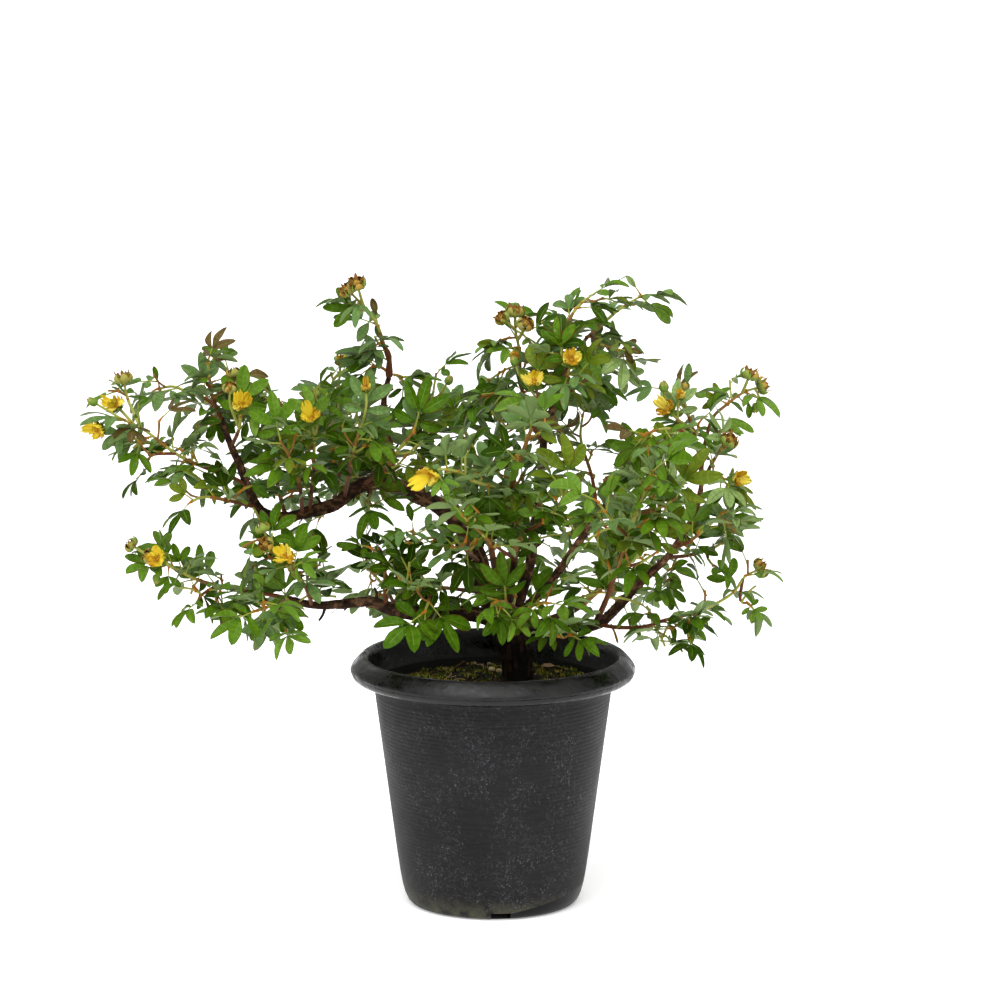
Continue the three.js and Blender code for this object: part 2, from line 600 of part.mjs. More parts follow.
// Five petals in a shallow cup, each with its own length
function petalsGeometry(seed, size) {
  const slope = Math.tan(THREE.MathUtils.degToRad(BLOOM.cup));
  const outline = [0.42, 0.9, 1, 0.9];
  const reach = (k) => size * BLOOM.radius * outline[k % 4] * (0.8 + 0.25 * draw(seed, Math.floor(k / 4)));
  const rim = ring(20, reach, (k) => CLEARANCE + reach(k) * slope, seed);
  const triangles = rim.flatMap((_, k) => {
    const next = 2 + ((k + 1) % rim.length);
    return [[0, next, 2 + k], [1, 2 + k, next]];
  });
  return facets([[0, 0, CLEARANCE], [0, 0, CLEARANCE + BLOOM.thick], ...rim], triangles);
}

function endFrame(stem) {
  const { along } = axesAt(stem.curve, 1);
  const axis = along.clone();
  if (stem.end === "bloom") axis.addScaledVector(TO_VIEWER, 0.15 + 0.6 * draw(stem.seed, 11)).normalize();
  const turn = new THREE.Quaternion().setFromUnitVectors(UP, axis);
  return new THREE.Matrix4().makeRotationFromQuaternion(turn).setPosition(stem.curve.getPoint(1));
}

const headSolid = (stem) => solidOf(headGeometry(stem.seed).applyMatrix4(endFrame(stem)));
const petalsSolid = (stem) => solidOf(petalsGeometry(stem.seed, stem.size).applyMatrix4(endFrame(stem)));

// Stems of every spray, with their curves and radii
function stemsOf(rows, sprayNumber) {
  const stems = [];
  rows.forEach((row, k) => {
    const fromLimb = typeof row.on === "string";
    const parent = fromLimb ? curveOf(LIMBS[row.on].route.map(vec)) : stems[row.on].curve;
    const curve = curveOf([parent.getPoint(row.at), ...row.route.map(vec)]);
    const foot = row.radius ?? (fromLimb ? TWIG_RADIUS : 0.8 * TWIG_RADIUS);
    const sides = foot > 2 ? 5 : 3;
    stems.push({ size: 1, seed: 10 * sprayNumber + 3 * k + 1, ...row, curve, foot, sides });
  });
  return stems;
}

function stemTube(stem) {
  const tip = stem.foot > 2 ? 1.1 : TWIG_TIP_RADIUS;
  const steps = 1 + Math.round(stem.curve.getLength() / TWIG_STEP);
  return stemSolid(stem.curve, steps, stem.foot, tip, stem.sides);
}

const meet = (a, b, reach) => a.min.every(
  (low, k) => low - reach < b.max[k] && b.min[k] - reach < a.max[k],
);

// Grows every spray's leaves, one leaf at a time in turn, leaving out what would touch
function growSprays(fixed) {
  const fatWood = woodWith(CLEARANCE);
  const sprays = Object.entries(SPRAYS).map(([name, rows], number) => {
    const stems = stemsOf(rows, number + 1);
    const heads = stems.filter((stem) => stem.end === "head").map(headSolid);
    const petals = stems.filter((stem) => stem.end === "bloom").map(petalsSolid);
    const bare = largestBody(fuse([...stems.map(stemTube), ...heads]).subtract(fatWood));
    return { name, stems, bare, petals, leaves: [] };
  });
  const placed = fixed.map((solid) => ({ solid, box: solid.boundingBox(), reach: CLEARANCE }));
  sprays.forEach((spray) => {
    spray.petals.forEach((solid) => placed.push({ solid, box: solid.boundingBox() }));
    placed.push({ solid: spray.bare, box: spray.bare.boundingBox(), stemOf: spray });
  });
  const clear = (leaf, spray) => {
    const box = leaf.boundingBox();
    if (leaf.intersect(spray.bare).volume() < 0.03) return false;
    return placed.filter((other) => meet(box, other.box, 0.5)).every((other) => {
      if (other.stemOf === spray) return leaf.intersect(other.solid).volume() < 0.8;
      return leaf.minGap(other.solid, 0.5) > (other.leafOf === spray ? 0.1 : 0.34);
    });
  };
  sprays.forEach((spray) => spray.stems.forEach((stem) => {
    for (let k = 0; k < stem.leaves; k += 1) {
      for (let attempt = 0; attempt < LEAF_TRIES; attempt += 1) {
        const { frame, leaf } = leafPlace(stem, k, attempt);
        const solid = solidOf(leafGeometry(leaf).applyMatrix4(frame));
        if (!clear(solid, spray)) continue;
        spray.leaves.push(solid);
        placed.push({ solid, box: solid.boundingBox(), leafOf: spray });
        break;
      }
    }
  }));
  return sprays.map((spray) => ({
    ...spray,
    solid: largestBody(fuse([spray.bare, ...spray.leaves])),
  }));
}

// Materials
const material = (color, roughness) => new THREE.MeshStandardMaterial({ color, roughness, metalness: 0 });
const potPlastic = material(0x17181a, 0.5);
const bark = material(0x3d2e25, 0.9);
const peat = material(0x2b241c, 0.98);
const stone = material(0x9a948a, 0.8);
const foliage = material(0x5f7d42, 0.7);
const petalYellow = material(0xf0c419, 0.6);

const plant = new THREE.Group();

function place(name, solid, finish) {
  const mesh = new THREE.Mesh(geometryOf(solid), finish);
  mesh.name = name;
  plant.add(mesh);
}

const pot = potSolid();
const soil = soilSolid();
const wood = woodWith(0);
place("pot", pot, potPlastic);
place("soil", soil, peat);
place("trunk_and_limbs", wood, bark);
Object.entries(PEBBLES).forEach(([name, pebble]) => place(name, pebbleSolid(pebble, 0), stone));
growSprays([pot, soil, wood]).forEach(({ name, solid, petals }) => {
  place(`spray_${name}`, solid, foliage);
  petals.forEach((flower, k) => {
    const number = petals.length > 1 ? `_${k + 1}` : "";
    place(`bloom_${name}${number}`, flower, petalYellow);
  });
});

export default plant;
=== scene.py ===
# A shrubby cinquefoil in a round nursery pot. Tables and helper sizes are in millimetres; objects are in metres.
from math import atan2, cos, floor, hypot, pi, radians, sin, sqrt, tan

import bpy
import numpy as np
from mathutils import Matrix, Vector, noise
from mathutils.kdtree import KDTree


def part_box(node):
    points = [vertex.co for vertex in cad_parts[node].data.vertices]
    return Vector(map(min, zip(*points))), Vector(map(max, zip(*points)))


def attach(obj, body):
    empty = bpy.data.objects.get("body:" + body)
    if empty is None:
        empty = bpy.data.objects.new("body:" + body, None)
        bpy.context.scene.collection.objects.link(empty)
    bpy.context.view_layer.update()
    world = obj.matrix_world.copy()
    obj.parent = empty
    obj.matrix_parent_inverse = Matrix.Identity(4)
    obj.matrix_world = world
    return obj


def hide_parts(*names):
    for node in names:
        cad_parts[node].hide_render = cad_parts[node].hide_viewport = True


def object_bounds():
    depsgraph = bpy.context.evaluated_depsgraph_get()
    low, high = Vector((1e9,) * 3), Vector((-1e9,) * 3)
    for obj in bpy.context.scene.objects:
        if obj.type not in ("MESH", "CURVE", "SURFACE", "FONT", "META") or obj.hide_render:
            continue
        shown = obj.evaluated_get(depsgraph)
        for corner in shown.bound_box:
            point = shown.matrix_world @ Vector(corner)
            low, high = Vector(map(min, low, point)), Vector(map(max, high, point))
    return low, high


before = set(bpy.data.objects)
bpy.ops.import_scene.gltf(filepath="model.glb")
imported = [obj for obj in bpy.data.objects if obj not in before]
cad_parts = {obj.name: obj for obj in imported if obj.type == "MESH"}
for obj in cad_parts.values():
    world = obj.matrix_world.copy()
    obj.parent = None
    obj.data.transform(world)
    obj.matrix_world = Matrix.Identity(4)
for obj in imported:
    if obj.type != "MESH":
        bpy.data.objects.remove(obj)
cad_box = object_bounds()

MM = 0.001
UP = Vector((0, 0, 1))
TO_VIEWER = Vector((0, -1, 0.15))

# Camera: the photograph's viewing angle
CAMERA_AT = (3.76, -2600, 693)
CAMERA_PITCH = 10.3
CAMERA_LENS = 177.3
CAMERA_SENSOR = 36
FRAME = 1000

# Pot: its ribbed wall starts at the foot's radius and height, and the channels run in from the foot's edge
POT_HEIGHT = 136
RIM_RADIUS = 77
LEDGE_RADIUS = 64
LEDGE_HEIGHT = POT_HEIGHT - 18
FOOT_RADIUS = 42.5
WALL_FOOT_RADIUS = 51.5
WALL_FOOT_HEIGHT = 24
WALL = 1.8
FLOOR_THICK = 5
POT_SIDES = 144
RIB_PITCH = 2.2
RIB_DEPTH = 0.2
CHANNEL = {"count": 4, "length": 44, "width": 10.5, "depth": 4, "middle": 38, "turn": 0.09}
HOLE = {"radius": 3.2, "at": 30, "depth": 20, "sides": 24}

# Soil: its level and mound, its radius, and the radius that loose bits keep within
SOIL_LEVEL = POT_HEIGHT - 19
SOIL_MOUND = 5
SOIL_RADIUS = 61.6
LOOSE_RADIUS = 60.5
TRUNK_AT = (13, 8)

# Twigs and leaves, as in the solids
TWIG_RADIUS = 1.4
TWIG_TIP_RADIUS = 0.85
LEAFLET = {"length": 14.6, "width": 6.9, "spread": 48}
PAIR = {"length": 11.4, "width": 5.6, "spread": 86, "back": 4}
PETIOLE_LENGTH = 8.6
LEAF_TRIES = 9
END_LEAFLET = 1.08
BLOOM_RADIUS = 7.6
BLOOM_CUP = 38


def draw(seed, k):
    """A repeatable draw between 0 and 1."""
    wave = 43758.5453 * sin(12.9898 * seed + 78.233 * k)
    return wave - floor(wave)


def spread(seed, k, low, high):
    return low + (high - low) * draw(seed, k)


def pick(choices, share):
    return choices[int(len(choices) * share)]


def blend(pair, t):
    return pair[0] + (pair[1] - pair[0]) * t


def polar(radius, turn):
    return radius * cos(turn), radius * sin(turn)


def turned(along, side, turn):
    """A flat place, given along and across a direction that is turned from +X."""
    return along * cos(turn) - side * sin(turn), along * sin(turn) + side * cos(turn)


def around(axes, turn):
    """The way out of a line at a turn round it, from the line's axes."""
    return cos(turn) * axes[1] + sin(turn) * axes[2]


def points(text):
    """Places written as numbers, with a comma after each place."""
    return [tuple(float(number) for number in place.split()) for place in text.split(",")]


class Line:
    """A smooth line through points, and its own axes along the way."""

    def __init__(self, places):
        self.places = [Vector(p) for p in places]

    def at(self, t):
        places = self.places
        last = len(places) - 1
        k = min(int(t * last), last - 1)
        w = t * last - k
        b, c = places[k], places[k + 1]
        a = places[k - 1] if k > 0 else 2 * b - c
        d = places[k + 2] if k + 2 <= last else 2 * c - b
        rise, fall = (c - a) / 2, (d - b) / 2
        return b + w * rise + w * w * (3 * (c - b) - 2 * rise - fall) + w**3 * (2 * (b - c) + rise + fall)

    def axes(self, t):
        """Along the line, and the two ways across it."""
        side = (self.at(1) - self.at(0)).cross(UP).normalized()
        along = (self.at(min(t + 0.01, 1)) - self.at(max(t - 0.01, 0))).normalized()
        side = (side - side.dot(along) * along).normalized()
        return along, side, along.cross(side)

    def length(self):
        marks = [self.at(k / 40) for k in range(41)]
        return sum((b - a).length for a, b in zip(marks, marks[1:]))


def limb(radii, route):
    return {"radii": radii, "line": Line(points(route))}


def twig(on, at, route, leaves=0, seed=None, **more):
    """What a stem leaves, a limb or an earlier stem of its spray by number, and at which share of its length."""
    own = {} if seed is None else {"seed": seed}
    return {"on": on, "at": at, "route": points(route), "leaves": leaves, **own, **more}


# Woody limbs: the radius at the foot and at the end, and the centre line
LIMBS = {
    "trunk": limb((7.6, 9.5), "13 8 97, 13 8 127, 11 6 140, 8 4 152"),
    "left_low": limb((4.8, 1.6),
        "8 4 151, -11 -4 159, -31 -10 160, -51 -12 162, -65 -12 167, -83 -8 165, -98 -4 164, -112 -4 168"),
    "left_up": limb((5.6, 1.6),
        "8 4 151, -4 14 166, -8 20 184, -16 24 200, -29 28 212, -42 30 218, -57 28 225, -72 24 224, "
        "-85 18 215, -99 12 212, -111 6 210, -124 0 214, -131 -4 227, -135 -4 239, -141 -4 253, -145 -4 265"),
    "right_main": limb((3.4, 1.7),
        "8 4 150, 23 -2 150, 37 -8 152, 55 -14 155, 66 -18 165, 76 -22 177, 84 -24 185, 92 -28 194, "
        "99 -34 205"),
    "right_up": limb((2.8, 1.5), "9 8 151, 23 14 164, 34 18 176, 44 20 190, 51 22 200, 58 24 210, 69 26 220"),
    "centre": limb((3.6, 1.4),
        "8 6 151, 15 2 169, 20 -2 187, 22 -4 205, 25 -4 227, 27 -4 251, 32 -2 272, 36 0 291"),
    "spire": limb((2.2, 1.3), "-56 28 225, -55 32 239, -59 32 256, -59 28 271, -56 24 284"),
    "riser": limb((1.7, 1.2), "99 -34 205, 105 -28 214, 109 -22 222, 111 -18 232, 111 -14 244"),
}

# Leafy sprays: each stem with its route, its number of leaves and its seed
SPRAYS = {
    "left_tip": [
        twig("left_up", 0.81, "-139 -8 234, -157 -14 242, -169 -18 249, -184 -24 262, -196 -28 269", 3, 50),
        twig(0, 1, "-204 -33 269, -208 -36 266", end="bloom"),
        twig(0, 0.9, "-197 -20 272, -199 -20 274", end="bloom"),
        twig(0, 0.84, "-194 -14 277, -196 -14 287", end="head"),
        twig(0, 0.6, "-181 -24 249, -184 -26 242", 1, 40),
    ],
    "left_second": [twig("left_up", 0.94, "-150 4 272, -163 10 277, -172 14 280, -181 16 278", 3, 64)],
    "left_top": [
        twig("left_up", 1, "-149 -6 275, -151 -4 286, -152 -2 296", 3, 60),
        twig(0, 0.29, "-145 6 280, -142 12 289", 1, 69),
    ],
    "left_bloom": [
        twig("left_up", 0.92, "-135 -16 262, -133 -28 275", 1, 28, end="bloom"),
        twig(0, 0.51, "-135 -12 279, -137 -10 289", 1, 45, end="head"),
        twig(0, 0.51, "-139 -24 276, -139 -28 285", end="head"),
    ],
    "left_inner": [
        twig("left_up", 0.67, "-117 24 226, -120 32 241, -127 30 254, -132 26 264", 3, 36),
        twig(0, 0.5, "-112 22 256, -114 16 270, -123 12 279", 2, 1),
    ],
    "left_yellow": [
        twig("left_up", 0.6, "-96 -8 237, -95 -20 257, -96 -26 268", 2, 29, end="bloom"),
        twig(0, 0.66, "-92 -14 271, -95 -12 278", 1, 22, end="head"),
    ],
    "left_tuft": [twig("left_up", 0.54, "-83 36 235, -84 44 257, -84 44 279", 3, 7)],
    "spire_tip": [
        twig("spire", 1, "-56 20 295, -59 16 303, -62 12 314, -69 8 324, -76 6 332", 3, 78, end="head"),
        twig(0, 0.81, "-71 2 332, -72 0 336", end="head"),
    ],
    "centre_left": [twig("left_up", 0.31, "-39 42 229, -38 50 245, -34 54 263, -31 54 281", 3, 79)],
    "centre_heads": [
        twig("centre", 0.71, "18 8 268, 15 12 284, 14 12 300, 12 10 311, 12 10 319", 3, 67, end="head"),
        twig(0, 0.8, "9 4 315, 6 2 318", end="head"),
        twig(0, 0.69, "16 4 311, 17 0 315", end="head"),
    ],
    "centre_yellow": [twig("centre", 0.79, "25 -22 277, 22 -34 289", 2, 77, end="bloom")],
    "top": [
        twig("centre", 1, "37 6 305, 42 10 319, 48 12 326, 52 12 329", 3, 31),
        twig(0, 0.26, "31 -4 313, 26 -8 318", 1, 1),
    ],
    "top_right": [
        twig("centre", 0.94, "44 14 296, 50 20 305, 57 26 310, 65 30 317, 73 34 322, 80 36 326", 3, 13),
        twig(0, 0.4, "57 8 304, 66 2 302", 2, 36),
    ],
    "right_shoulder": [twig("centre", 0.86, "44 28 277, 57 40 284, 68 46 288", 3, 28)],
    "orange_bloom": [twig("centre", 0.9, "39 -26 291, 41 -36 301", 1, 49, end="bloom")],
    "right_up_tip": [twig("right_up", 1, "76 18 230, 79 10 240", 4, 36)],
    "mid_right": [twig("right_up", 0.8, "54 42 225, 48 54 244, 49 56 258", 2, 66)],
    "riser_heads": [
        twig("riser", 0.99, "107 -10 259, 103 -8 272, 101 -8 282", 2, 87, end="head"),
        twig(0, 0.34, "98 -22 268, 93 -26 273", 1, 73, end="bloom"),
        twig(0, 0.2, "99 -40 265, 88 -54 268, 78 -62 266", 2, 68),
    ],
    "right_heads": [
        twig("riser", 0.91, "114 4 252, 118 8 264, 125 12 270, 134 16 276, 143 18 279", 3, 85, end="head"),
        twig(0, 0.8, "136 12 282, 137 12 285", end="head"),
    ],
    "right_dry": [
        twig("riser", 0.76, "118 -30 249, 124 -36 258", 2, 83, end="head"),
        twig(0, 0.24, "121 -38 239, 127 -44 240", 2, 74, end="bloom"),
    ],
    "right_fan": [twig("right_main", 0.95, "104 -42 206, 112 -48 214, 121 -52 223", 3, 31)],
    "right_out": [
        twig("right_main", 0.88, "105 -14 193, 117 -6 195, 126 -2 199", 2, 38),
        twig(0, 0.6, "115 -14 191, 118 -18 188", 1, 13),
    ],
    "right_low": [
        twig("right_main", 0.38,
            "68 -26 156, 81 -33 158, 91 -36 162, 105 -34 165, 117 -30 169, 128 -26 175, 134 -24 183, "
            "141 -24 187", 5, 78, end="head"),
        twig(0, 0.86, "132 -22 170, 137 -20 168", 1, 18),
        twig(0, 0.55, "103 -44 160, 104 -50 155", 1, 76),
    ],
    "right_hang": [twig("right_main", 0.25, "39 -32 156, 41 -46 156", 1, 45, size=0.8)],
    "right_front": [
        twig("right_main", 0.37,
            "60 -40 174, 65 -64 195, 70 -84 217, 76 -96 235, 82 -104 255", 2, 67, size=1.15, radius=2),
        twig(0, 0.6, "61 -98 228, 54 -106 239", 2, 78),
        twig(0, 0.75, "84 -98 233, 95 -100 240", 2, 11, size=1.1),
        twig(0, 0.4, "77 -80 202, 86 -90 210", 2, 11),
    ],
    "front": [
        twig("trunk", 0.94,
            "9 -20 170, 11 -38 190, 12 -52 211, 11 -62 229, 10 -68 240, 15 -78 258, 20 -82 273", 2, 77, radius=2.4),
        twig(0, 0.7, "-8 -84 245, -18 -92 252, -27 -96 254, -31 -98 252", 2, 5, end="bloom"),
        twig(0, 0.43, "25 -72 221, 34 -84 233, 39 -90 243", 2, 64, size=1.1),
        twig(0, 0.33, "1 -64 208, -9 -78 220, -16 -84 228", 2, 79, size=1.1),
        twig(0, 0.07, "15 -28 165, 23 -56 175, 29 -74 179", 2, 67, radius=1.8),
        twig(4, 0.34, "6 -50 175, 0 -66 177", 2, 31),
    ],
    "low_twig": [
        twig("left_up", 0.07, "-17 -8 173, -28 -26 178, -41 -38 182, -50 -44 187", 2, 38),
        twig(0, 0.6, "-34 -48 175, -36 -58 171", 2, 78, size=1.15),
    ],
    "low_mid": [twig("left_low", 0.49, "-58 -18 177, -58 -22 190, -65 -24 199", 3, 79, size=0.85)],
    "hang_left": [twig("left_up", 0.44, "-66 4 222, -68 -10 221", 1, 87)],
    "hang_mid": [twig("left_up", 0.2, "-26 -6 203, -35 -22 204, -43 -30 209", 2, 27, size=0.9)],
    "inner_front": [twig("left_up", 0.13, "-12 -12 193, -16 -36 201, -22 -50 204", 2, 73, size=1.15)],
    "left_low_tip": [
        twig("left_low", 1,
            "-124 -8 171, -137 -14 174, -157 -22 181, -168 -28 188, -177 -32 193, -182 -34 196", 4, 87, end="head"),
        twig(0, 0.94, "-188 -30 199, -191 -30 201", end="head"),
        twig(0, 0.68, "-173 -40 194, -176 -46 197", end="bloom"),
        twig(0, 0.42, "-155 -26 174, -158 -30 170", 1, 40),
    ],
    "left_skirt": [
        twig("left_low", 0.92, "-109 -28 169, -117 -46 172, -125 -56 171", 3, 31, size=1.1),
        twig(0, 0.6, "-110 -52 167, -109 -58 161", 1, 61),
    ],
    "left_skirt_back": [twig("left_low", 0.97, "-120 18 159, -132 34 152, -141 42 148", 2, 77)],
    "left_nodding": [
        twig("left_low", 0.85, "-100 -26 178, -104 -42 189, -109 -50 198", 2, 78, end="bloom"),
        twig(0, 0.52, "-116 -46 201, -121 -44 212", 1, 30, end="head"),
    ],
    "left_mid": [twig("left_up", 0.75, "-140 -22 224, -153 -32 228, -160 -38 226", 2, 73)],
    "front_left": [twig("left_up", 0.51, "-76 -12 240, -72 -32 259, -68 -38 271", 3, 36)],
    "front_mid": [twig("left_up", 0.46, "-58 -6 238, -49 -28 254, -41 -36 264", 2, 11, size=1.1)],
    "left_face": [twig("left_up", 0.62, "-103 -20 233, -107 -36 249, -112 -42 260", 2, 77)],
    "back": [
        twig("trunk", 0.89,
            "5 30 162, 0 52 178, -3 70 197, -7 84 216, -12 92 235, -20 98 248", 3, 28, radius=2.4),
        twig(0, 0.67, "4 98 230, 8 104 244", 2, 79),
        twig(0, 0.5, "-16 95 198, -27 108 201", 2, 49),
        twig(0, 0.33, "15 80 179, 26 104 180", 2, 11),
    ],
    "right_back": [
        twig("trunk", 0.85,
            "31 20 151, 46 32 155, 59 48 163, 73 64 172, 87 76 184, 97 88 202", 3, 63, radius=2.4),
        twig(0, 0.67, "68 86 187, 61 100 202", 3, 44),
        twig(0, 0.5, "65 80 155, 75 106 149", 2, 6),
    ],
    "left_back": [
        twig("left_up", 0.4, "-67 55 227, -82 80 231, -95 98 238, -106 106 247", 3, 87, radius=2.4),
        twig(0, 0.5, "-78 96 245, -74 102 256", 2, 7),
        twig(0, 0.25, "-81 85 212, -92 106 198", 2, 80),
    ],
    "low_back": [twig("left_low", 0.43, "-57 24 165, -65 56 168, -74 86 170", 3, 77)],
}
# Flower buds, fading flowers and a head on short stalks, too small for the solids
BUDS = {
    "left_tip": [twig(0, 1, "-205 -26 274, -210 -26 277")],
    "right_heads": [twig(0, 0.95, "143 17 274, 142.1 17 270")],
    "left_low_tip": [twig(0, 0.95, "-178 -34 190, -178.5 -34 186")],
    "riser_heads": [
        twig(1, 0.7, "91 -25 280, 90.6 -26 284"),
        twig(1, 0.5, "98 -22 276, 99 -24 280", end="bloom"),
    ],
    "left_nodding": [twig(1, 0.55, "-117 -46 204, -118.6 -48 205", end="head")],
    "front_left": [twig(0, 0.97, "-66.5 -42 279, -66.6 -44 287", end="bloom")],
    "centre_heads": [twig(0, 0.55, "12.6 -3 296, 11.8 -7 299", end="bloom")],
    "left_tuft": [
        twig(0, 0.66, "-74 34 265, -68 32 273"),
        twig(0, 0.92, "-83 41 285, -82.6 38 289", end="bloom"),
    ],
    "centre_left": [twig(0, 0.76, "-28 46 272, -25 44 277")],
    "centre_yellow": [twig(0, 0.51, "15 -20 290, 12 -20 297")],
}
# Sprays whose flower has begun to wither
WITHERED = ("orange_bloom", "right_dry", "riser_heads")
FADING_SIZE = 0.56


# Pieces
class Shape:
    """Faces gathered for one piece, in millimetres, each with the number of its material."""

    def __init__(self):
        self.points, self.faces, self.slots = [], [], []

    def add(self, places, faces, slots):
        base = len(self.points)
        self.points.extend(tuple(p) for p in places)
        self.faces.extend(tuple(base + k for k in face) for face in faces)
        self.slots.extend([slots] * len(faces) if isinstance(slots, int) else slots)

    def make(self, name, materials, sharp=50):
        mesh = bpy.data.meshes.new(name)
        mesh.from_pydata([tuple(MM * c for c in p) for p in self.points], [], self.faces)
        for material in materials:
            mesh.materials.append(material)
        mesh.polygons.foreach_set("material_index", self.slots)
        mesh.polygons.foreach_set("use_smooth", [True] * len(self.faces))
        mesh.set_sharp_from_angle(angle=radians(sharp))
        mesh.validate()
        return linked(name, mesh)

    def finish(self, name, materials, slot, *nodes, sharp=50):
        if self.faces:
            finish_piece(self.make(name, materials, sharp), slot, *nodes)


def linked(name, data):
    """A new object for a mesh, lamp or camera, in the scene."""
    thing = bpy.data.objects.new(name, data)
    bpy.context.collection.objects.link(thing)
    return thing


def finish_piece(piece, slot, *nodes):
    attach(piece, "root")
    if nodes:
        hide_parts(*nodes)


def bake_modifiers(piece):
    graph = bpy.context.evaluated_depsgraph_get()
    made = bpy.data.meshes.new_from_object(piece.evaluated_get(graph))
    piece.modifiers.clear()
    piece.data = made


def grid_faces(rows, columns, base=0, closed=False):
    faces = []
    for r in range(rows - 1):
        for c in range(columns if closed else columns - 1):
            a, b = base + r * columns + c, base + r * columns + (c + 1) % columns
            faces.append((a, b, b + columns, a + columns))
    return faces


def capped_faces(rings, sides):
    """The faces of a closed round form: its rings in turn, then the middle of the first and of the last end."""
    faces = grid_faces(rings, sides, closed=True)
    first, last, base = rings * sides, rings * sides + 1, (rings - 1) * sides
    for k in range(sides):
        after = (k + 1) % sides
        faces += [(first, after, k), (last, base + k, base + after)]
    return faces


def add_tube(shape, line, radii, sides, steps, slot):
    """A round stem: its two radii, or its radius by the share of the way along, and its slot likewise."""
    radius_at = radii if callable(radii) else lambda t: blend(radii, t)
    slot_at = slot if callable(slot) else lambda t: slot
    places = []
    for step in range(steps + 1):
        t = step / steps
        axes, centre, radius = line.axes(t), line.at(t), radius_at(t)
        places += [centre + radius * around(axes, 2 * pi * k / sides) for k in range(sides)]
    places += [line.at(0), line.at(1) + 0.6 * radius_at(1) * line.axes(1)[0]]
    slots = [slot_at(step / steps) for step in range(steps) for _ in range(sides)]
    shape.add(places, capped_faces(steps + 1, sides), slots + [slot_at(0), slot_at(1)] * sides)


def add_globe(shape, rings, sides, place, ends, slot):
    """A closed ball between two ends: place takes the tilt from its middle, the turn and the ring's number."""
    places = [
        place(pi * r / rings - pi / 2, 2 * pi * k / sides, r) for r in range(1, rings) for k in range(sides)
    ]
    shape.add([*places, *ends], capped_faces(rings - 1, sides), slot)


def sheet_normals(top):
    grid = np.array([[tuple(p) for p in row] for row in top])
    normals = np.cross(np.gradient(grid, axis=0), np.gradient(grid, axis=1))
    normals = normals / np.maximum(np.linalg.norm(normals, axis=2, keepdims=True), 1e-9)
    return [Vector(n) for row in normals for n in row]


def add_sheet(shape, top, thick, slot):
    """A closed strip of even thickness over a grid of points."""
    rows, columns = len(top), len(top[0])
    size = rows * columns
    upper = [p for row in top for p in row]
    lower = [p - thick * n for p, n in zip(upper, sheet_normals(top))]
    border = list(range(columns)) + [r * columns + columns - 1 for r in range(1, rows)]
    border += [(rows - 1) * columns + c for c in range(columns - 2, -1, -1)]
    border += [r * columns for r in range(rows - 2, 0, -1)]
    faces = grid_faces(rows, columns)
    faces += [tuple(reversed(face)) for face in grid_faces(rows, columns, size)]
    faces += [(b, a, a + size, b + size) for a, b in zip(border, border[1:] + border[:1])]
    shape.add(upper + lower, faces, slot)


def add_blade(shape, top, thick, slot_of, under_slot):
    """A thin leaf over a grid of points: its two faces meet along the margin."""
    rows, columns = len(top), len(top[0])
    places = [p for row in top for p in row]
    normals = sheet_normals(top)
    under = list(range(rows * columns))
    for r in range(1, rows - 1):
        for k in range(r * columns + 1, (r + 1) * columns - 1):
            under[k] = len(places)
            places.append(places[k] - thick * normals[k])
    faces = grid_faces(rows, columns)
    slots = [slot_of(r, c) for r in range(rows - 1) for c in range(columns - 1)] + [under_slot] * len(faces)
    shape.add(places, faces + [tuple(under[k] for k in reversed(face)) for face in faces], slots)


# Materials
class Graph:
    """Short calls for a material's nodes. A value is a number, a colour or another node's output."""

    def __init__(self, material):
        self.nodes, self.links = material.node_tree.nodes, material.node_tree.links
        self.shader = self.nodes["Principled BSDF"].inputs

    def feed(self, socket, value):
        if isinstance(value, bpy.types.NodeSocket):
            self.links.new(value, socket)
        else:
            socket.default_value = (*value, 1) if isinstance(value, tuple) else value

    def place(self):
        """The outputs for a place on the object along X, Y and Z."""
        where, apart = self.nodes.new("ShaderNodeTexCoord"), self.nodes.new("ShaderNodeSeparateXYZ")
        self.links.new(where.outputs["Object"], apart.inputs[0])
        return apart.outputs

    def noise(self, scale, detail, stretch=(1, 1, 1), rough=0.6):
        where, mapping = self.nodes.new("ShaderNodeTexCoord"), self.nodes.new("ShaderNodeMapping")
        mapping.inputs["Scale"].default_value = stretch
        texture = self.nodes.new("ShaderNodeTexNoise")
        for socket, value in (("Scale", scale), ("Detail", detail), ("Roughness", rough)):
            texture.inputs[socket].default_value = value
        self.links.new(where.outputs["Object"], mapping.inputs["Vector"])
        self.links.new(mapping.outputs["Vector"], texture.inputs["Vector"])
        return texture.outputs["Fac"]

    def calc(self, operation, *values, clamp=False):
        node = self.nodes.new("ShaderNodeMath")
        node.operation = operation
        node.use_clamp = clamp
        for socket, value in zip(node.inputs, values):
            self.feed(socket, value)
        return node.outputs[0]

    def times(self, first, second):
        return self.calc("MULTIPLY", first, second)

    def line(self, value, slope, start, clamp=True):
        return self.calc("MULTIPLY_ADD", value, slope, start, clamp=clamp)

    def rise(self, value, low, high):
        """From 0 where the value is low to 1 where it is high."""
        return self.calc("MULTIPLY", self.calc("SUBTRACT", value, low), 1 / (high - low), clamp=True)

    def mix(self, factor, first, second):
        mix = self.nodes.new("ShaderNodeMix")
        mix.data_type = "RGBA"
        for number, value in ((0, factor), (6, first), (7, second)):
            self.feed(mix.inputs[number], value)
        return mix.outputs[2]

    def ramp(self, value, *stops):
        """Colours, or greys by their value, with their positions."""
        node = self.nodes.new("ShaderNodeValToRGB")
        elements = node.color_ramp.elements
        while len(elements) < len(stops):
            elements.new(0.5)
        for element, (position, color) in zip(elements, stops):
            element.position = position
            element.color = (*color, 1) if isinstance(color, tuple) else (color, color, color, 1)
        self.links.new(value, node.inputs["Fac"])
        return node.outputs["Color"]


